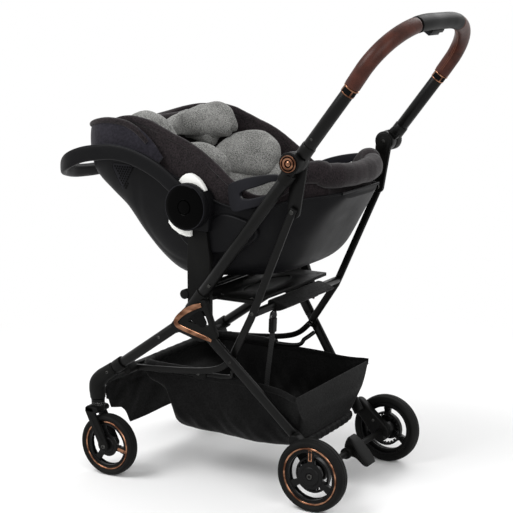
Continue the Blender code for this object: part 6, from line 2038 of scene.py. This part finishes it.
@dataclass
class Linings:
    """Cover, insert, head support, hood and harness of the infant seat.

    Attributes:
        roll: thickness of the padded roll round the cover's rim.
    """

    roll: float = 0.0150

    def build(self, sower: Sower) -> None:
        """Builds all the soft pieces."""
        self.cover(sower)
        self.pad()
        self.head()
        self.hood()
        self.harness()

    def cover(self, sower: Sower) -> None:
        """Charcoal cover with a padded roll round its rim."""
        outer, inner = eased(cover_rows(False), 84), eased(cover_rows(True), 84)
        tub = bucket("cover", outer, inner, 81, SQUARE)

        def ruck(co: np.ndarray) -> np.ndarray:
            """Shallow dents across the cloth, deeper near the rim."""
            rim = np.interp(co[:, 0], outer[:, 0], outer[:, 2])
            near = np.exp(-np.clip(rim - co[:, 2], 0, None) / 0.03)
            wave = 0.0012 * np.sin(co[:, 0] * 70 + co[:, 2] * 20) + 0.0009 * np.sin(co[:, 0] * 133 - co[:, 2] * 55)
            co[:, 1] += np.sign(co[:, 1]) * wave * near * (np.abs(co[:, 1]) > 0.03)
            return co

        piece = publish(displaced(tub, ruck), "cover_cloth", "car_seat", Look.CHARCOAL, ["seat_cover"])
        rim = [(r[0], (r[3] + i[3]) / 2, r[2]) for r, i in zip(outer, inner)]
        ends = mirrored([(-0.014, 0.108, 0.699), (0.002, 0.078, 0.697), (0.009, 0.040, 0.695)],
                        [(0.011, 0.0, 0.695)])
        head = [(rim[0][0] + 0.005, rim[0][1] * f, rim[0][2]) for f in (-0.5, 0.0, 0.5)]
        line = spline(mirrored(rim[:-6:4], ends) + head, 420, True)
        t = np.arange(420)
        line[:, 2] += 0.009 * np.clip((-0.340 - line[:, 0]) / 0.06, 0, 1)
        foot = np.clip((line[:, 0] + 0.115) / 0.105, 0, 1)
        lumps = 1 + 0.030 * np.sin(t * 0.17) + 0.014 * np.sin(t * 0.43 + 1) + 0.006 * np.sin(t * 1.1)
        swell = (1 + 1.9 * foot * foot * (3 - 2 * foot)) * lumps
        body = sweep("roll", line, self.roll * 1.15 * swell, self.roll * swell, (0, 0, 1), 28, 2.2, True)
        piece = publish(body, "cover_roll", "car_seat", Look.CHARCOAL)
        # Stitches in flat black along the crease under the roll: painted shade of the seam line.
        low = [(p[0], p[1] + math.copysign(0.0070, p[1]) if abs(p[1]) > 0.05 else p[1], p[2] - 0.0062) for p in line]
        sower.line("cover_seam", Fitting.STITCH, low[20:190], 0.0050, "car_seat", Look.PIT)

    def pad(self) -> None:
        """Grey insert: a padded sheet that rises to a wing on each side."""
        table = eased(cover_rows(True)[1:-2], 70)
        shares = np.linspace(-0.885, 0.885, 71)
        low, high = [], []
        for x, floor, rim, _, foot in table:
            drop = (1 - np.abs(shares) ** SQUARE) ** (1 / SQUARE)
            y = shares * foot
            low.append(np.stack([np.full_like(y, x), y, rim - (rim - floor) * drop + 0.0027], axis=1))
            top = np.array([pad_height(x, v) for v in y]) - 0.010 * np.clip((np.abs(y) - 0.08) / 0.03, 0, 1)
            puff = 0.0030 * np.abs(np.sin(x * 38)) * (np.abs(y) < 0.07) + 0.0016 * np.sin(y * 70 + x * 24)
            seam = -0.0030 * np.exp(-((np.abs(y) - 0.074) / 0.004) ** 2)
            high.append(np.stack([np.full_like(y, x), y, np.maximum(top + seam + puff - 0.0025,
                                                                    low[-1][:, 2] + 0.002)], axis=1))
        piece = sheet_pair("pad", np.array(low), np.array(high))
        publish(piece, "insert_pad", "car_seat", Look.MELANGE, ["seat_pad"])

    def head(self) -> None:
        """Head support of the insert: a padded horseshoe."""
        half = [(-0.378, -0.112, 0.748, 0.030), (-0.415, -0.120, 0.762, 0.080), (-0.453, -0.116, 0.766, 0.085),
                (-0.486, -0.080, 0.764, 0.060), (-0.493, -0.035, 0.760, 0.046)]
        line = spline(mirrored(half, [(-0.4944, 0, 0.759, 0.042)]), 130)
        t = np.arange(130)
        size = line[:, 3] * (1 + 0.025 * np.sin(t * 0.5) + 0.015 * np.sin(t * 1.3))
        piece = sweep("head", line[:, :3], size, size * 0.55, (0, 0, 1), 40, 2.2)
        publish(puffed(piece, SWELL), "head_cushion", "car_seat", Look.MELANGE, ["head_support"])
        head = [(-0.539, 0.746), (-0.514, 0.770), (-0.472, 0.7985), (-0.436, 0.813), (-0.412, 0.813),
                (-0.388, 0.8015), (-0.374, 0.780), (-0.365, 0.760), (-0.371, 0.747), (-0.398, 0.741),
                (-0.4185, 0.722), (-0.430, 0.707), (-0.454, 0.711), (-0.4905, 0.720), (-0.515, 0.726)]
        body = [(-0.427, 0.701), (-0.409, 0.722), (-0.377, 0.742), (-0.336, 0.752), (-0.302, 0.752),
                (-0.276, 0.7405), (-0.256, 0.724), (-0.249, 0.7025), (-0.253, 0.683), (-0.270, 0.654),
                (-0.307, 0.646), (-0.342, 0.646), (-0.369, 0.647), (-0.383, 0.661), (-0.398, 0.680),
                (-0.419, 0.691)]
        for side in Side:
            forth = -0.018 if side is Side.LEFT else 0.0
            for kind, shape, y, thick, lean, share in (("head", head, 0.124, 0.052, 0.10, 1.0),
                                                       ("body", body, 0.128, 0.050, 0.25, -0.8)):
                rim = [(x + forth * share, side.sign * (y + lean * (z - 0.73)), z) for x, z in shape]
                lobe = cushion(f"{kind}_lobe", rim, (0.0, -side.sign, 0.25), thick, 1.0 + side.sign)
                publish(puffed(lobe, SWELL), f"{kind}_lobe_{side.word}", "car_seat", Look.MELANGE)

    def hood(self) -> None:
        """Hood folded against the head end, with a heather band along its top."""
        half = [(-0.371, -0.1925, 0.7095, 0.037, 0.0085), (-0.410, -0.1935, 0.7420, 0.056, 0.0110),
                (-0.450, -0.1930, 0.7540, 0.078, 0.0120), (-0.500, -0.1890, 0.7560, 0.084, 0.0130),
                (-0.542, -0.1750, 0.7510, 0.080, 0.0160), (-0.571, -0.1420, 0.7460, 0.068, 0.0220),
                (-0.584, -0.0850, 0.7420, 0.060, 0.0280)]
        line = spline(mirrored(half, [(-0.586, 0, 0.7400, 0.056, 0.0300)]), 180)
        t = np.linspace(0, 1, 180)
        fold = 1 + 0.030 * np.sin(t * 90) * np.sin(t * math.pi)
        body = sweep("hood", line[:, :3], line[:, 3], line[:, 4] * fold, (0, 0, 1), 48, 2.4)
        piece = publish(body, "hood_cloth", "hood", Look.SLATE, ["canopy"])
        up = [(p[0], p[1], p[2] + p[3] / 2 - 0.004) for p in line[8:-8]]
        piece = publish(sweep("band", up, 0.0135, line[8:-8, 4] + 0.0040, (0, 0, 1), 28, 2.2), "hood_band", "hood",
                        Look.CHARCOAL)

    def strap(self, name: str, points: Sequence[Vec2], width: float, thick: float) -> Object:
        """Flat strap laid over the insert along (x, y) points."""
        line = spline([(x, y, 0) for x, y in points], 70)
        low, high = [], []
        for x, y, _ in line:
            rest = max(pad_height(x, y - width / 2), pad_height(x, y + width / 2)) + 0.0018
            ys = np.linspace(y - width / 2, y + width / 2, 9)
            crown = 0.0005 * (1 - ((ys - y) / (width / 2)) ** 4)
            low.append(np.stack([np.full(9, x), ys, np.full(9, rest)], axis=1))
            high.append(np.stack([np.full(9, x), ys, rest + thick + crown], axis=1))
        return sheet_pair(name, np.array(low), np.array(high))

    def harness(self) -> None:
        """Three-point harness with its buckle."""
        shoulder = ((-0.448, 0.040), (-0.395, 0.045), (-0.350, 0.046), (-0.300, 0.042), (-0.235, 0.018))
        parts = [self.strap("strap", [(x, s * y) for x, y in shoulder], 0.030, 0.0026) for s in (-1, 1)]
        crotch = [(x, 0.0) for x in (-0.262, -0.200, -0.150, -0.120)]
        parts.append(self.strap("strap", crotch, 0.034, 0.0030))
        publish(join("straps", parts), "harness_webbing", "car_seat", Look.WEB, ["harness_straps"])
        refined("harness_buckle", "car_seat", Look.NYLON, 0.0020)
        refined("buckle_button", "buckle_release", Look.RED, 0.0012)


@dataclass
class BeltGuides:
    """Hooks on the shell's rim that guide the vehicle's lap belt.

    Attributes:
        outline: (x, z) points round a hook.
    """

    outline: tuple[Vec2, ...] = (
        (-0.1905, 0.6450), (-0.1930, 0.6640), (-0.1910, 0.6780), (-0.1800, 0.6850), (-0.1494, 0.6956),
        (-0.1110, 0.7040), (-0.0800, 0.7075), (-0.0700, 0.7020), (-0.0740, 0.6950), (-0.0950, 0.6905),
        (-0.1220, 0.6800), (-0.1480, 0.6710), (-0.1625, 0.6640), (-0.1640, 0.6560), (-0.1560, 0.6515),
        (-0.1380, 0.6530), (-0.1110, 0.6610), (-0.0930, 0.6665), (-0.0870, 0.6610), (-0.0930, 0.6520),
        (-0.1210, 0.6390), (-0.1495, 0.6300), (-0.1717, 0.6235), (-0.1850, 0.6275))

    def build(self) -> None:
        """Builds both guides."""
        for side in Side:
            guide = prism("guide", smooth_outline(self.outline, 150), *side.span(SHELL_W + GAP, SHELL_W + 0.0125),
                          0.0026, 4)
            publish(guide, f"belt_guide_hook_{side.word}", "car_seat", Look.GREY, [f"belt_guide_{side.word}"])


class Studio:
    """White sweep, lamps and the camera of the reference view."""

    def build(self) -> None:
        """Builds floor, world, lamps and camera."""
        scene = bpy.context.scene
        scene.view_settings.view_transform = "Standard"
        bpy.ops.mesh.primitive_plane_add(size=60, location=(0, 0, 0))
        floor = bpy.context.object
        floor.name = "floor"
        floor.data.materials.append(self.floor_material())
        self.world(scene)
        for name, spot, size, power, aim in (("key", (-1.6, -2.4, 3.4), 2.4, 130, (0, 0, 0.4)),
                                             ("fill", (3.0, -2.0, 2.2), 2.6, 60, (0, 0, 0.5)),
                                             ("back", (0.6, 3.0, 3.0), 2.4, 75, (0, 0, 0.6))):
            data = bpy.data.lights.new(name, "AREA")
            data.size, data.energy = size, power
            lamp = bpy.data.objects.new(name, data)
            lamp.location = spot
            lamp.rotation_euler = (Vector(aim) - Vector(spot)).to_track_quat("-Z", "Y").to_euler()
            scene.collection.objects.link(lamp)
        data = bpy.data.cameras.new("camera")
        data.lens, data.sensor_width = 99.47, 36.0
        camera = bpy.data.objects.new("camera", data)
        camera.location = (1.3239 + SHIFT, -2.6625, 1.1178)
        camera.rotation_euler = (math.radians(78.46), 0, math.radians(30.46))
        scene.collection.objects.link(camera)
        scene.camera = camera

    def floor_material(self) -> Material:
        """Pale floor that keeps the contact shadow."""
        mat = bpy.data.materials.new("pale_floor")
        mat.use_nodes = True
        shader = mat.node_tree.nodes["Principled BSDF"]
        shader.inputs["Base Color"].default_value = (0.86, 0.86, 0.86, 1)
        shader.inputs["Roughness"].default_value = 0.9
        shader.inputs["Specular IOR Level"].default_value = 0.1
        tree = mat.node_tree
        where = add_node(tree, "ShaderNodeTexCoord").outputs["Object"]
        reach = add_node(tree, "ShaderNodeVectorMath", {"operation": "LENGTH"}, {0: where})
        far = add_node(tree, "ShaderNodeMapRange", {"interpolation_type": "SMOOTHSTEP"},
                       {0: reach.outputs["Value"], 1: 0.55, 2: 1.5})
        glow = add_node(tree, "ShaderNodeEmission", None, {"Color": (1, 1, 1, 1), "Strength": 1.0})
        mix = add_node(tree, "ShaderNodeMixShader", None, {0: far.outputs[0], 1: shader.outputs[0],
                                                           2: glow.outputs[0]})
        tree.links.new(mix.outputs[0], tree.nodes["Material Output"].inputs[0])
        return mat

    def world(self, scene: bpy.types.Scene) -> None:
        """White to the camera and in reflections, softer as a light."""
        world = bpy.data.worlds.new("white")
        world.use_nodes = True
        tree = world.node_tree
        tree.nodes.clear()
        path = add_node(tree, "ShaderNodeLightPath")
        seen = add_node(tree, "ShaderNodeMath", {"operation": "MAXIMUM"},
                        {0: path.outputs["Is Camera Ray"], 1: path.outputs["Is Transmission Ray"]})
        white = add_node(tree, "ShaderNodeMath", {"operation": "MAXIMUM"},
                         {0: seen.outputs[0], 1: path.outputs["Is Glossy Ray"]})
        soft = add_node(tree, "ShaderNodeBackground", None, {"Color": (1, 1, 1, 1), "Strength": 0.62})
        plain = add_node(tree, "ShaderNodeBackground", None, {"Color": (1, 1, 1, 1), "Strength": 1.0})
        mix = add_node(tree, "ShaderNodeMixShader", None, {0: white.outputs[0], 1: soft.outputs[0],
                                                           2: plain.outputs[0]})
        add_node(tree, "ShaderNodeOutputWorld", None, {"Surface": mix.outputs[0]})
        scene.world = world


def main() -> None:
    """Builds every sub-assembly in order."""
    logging.basicConfig(level=logging.INFO, format="%(name)s: %(message)s")
    sower = Sower()
    for side in Side:
        SideFrame(side).build(sower)
    for piece in (FrontBar(), PushHandle(), Struts(), SeatSupport(), RearLegs(), Stays(), Basket()):
        piece.build(sower)
    for side in Side:
        Caster(side).build(sower)
        Wheel("front", side, (FRONT_X, FRONT_R), FRONT_R, 0.030, TUBE_Y, 0.35).build(sower)
        Wheel("rear", side, (0.0, REAR_R), REAR_R, 0.033, REAR_HUB_Y, 0.0).build(sower)
    Shell().build(sower)
    CarryHandle().build()
    Linings().build(sower)
    BeltGuides().build()
    Studio().build()


if __name__ == "__main__":
    main()
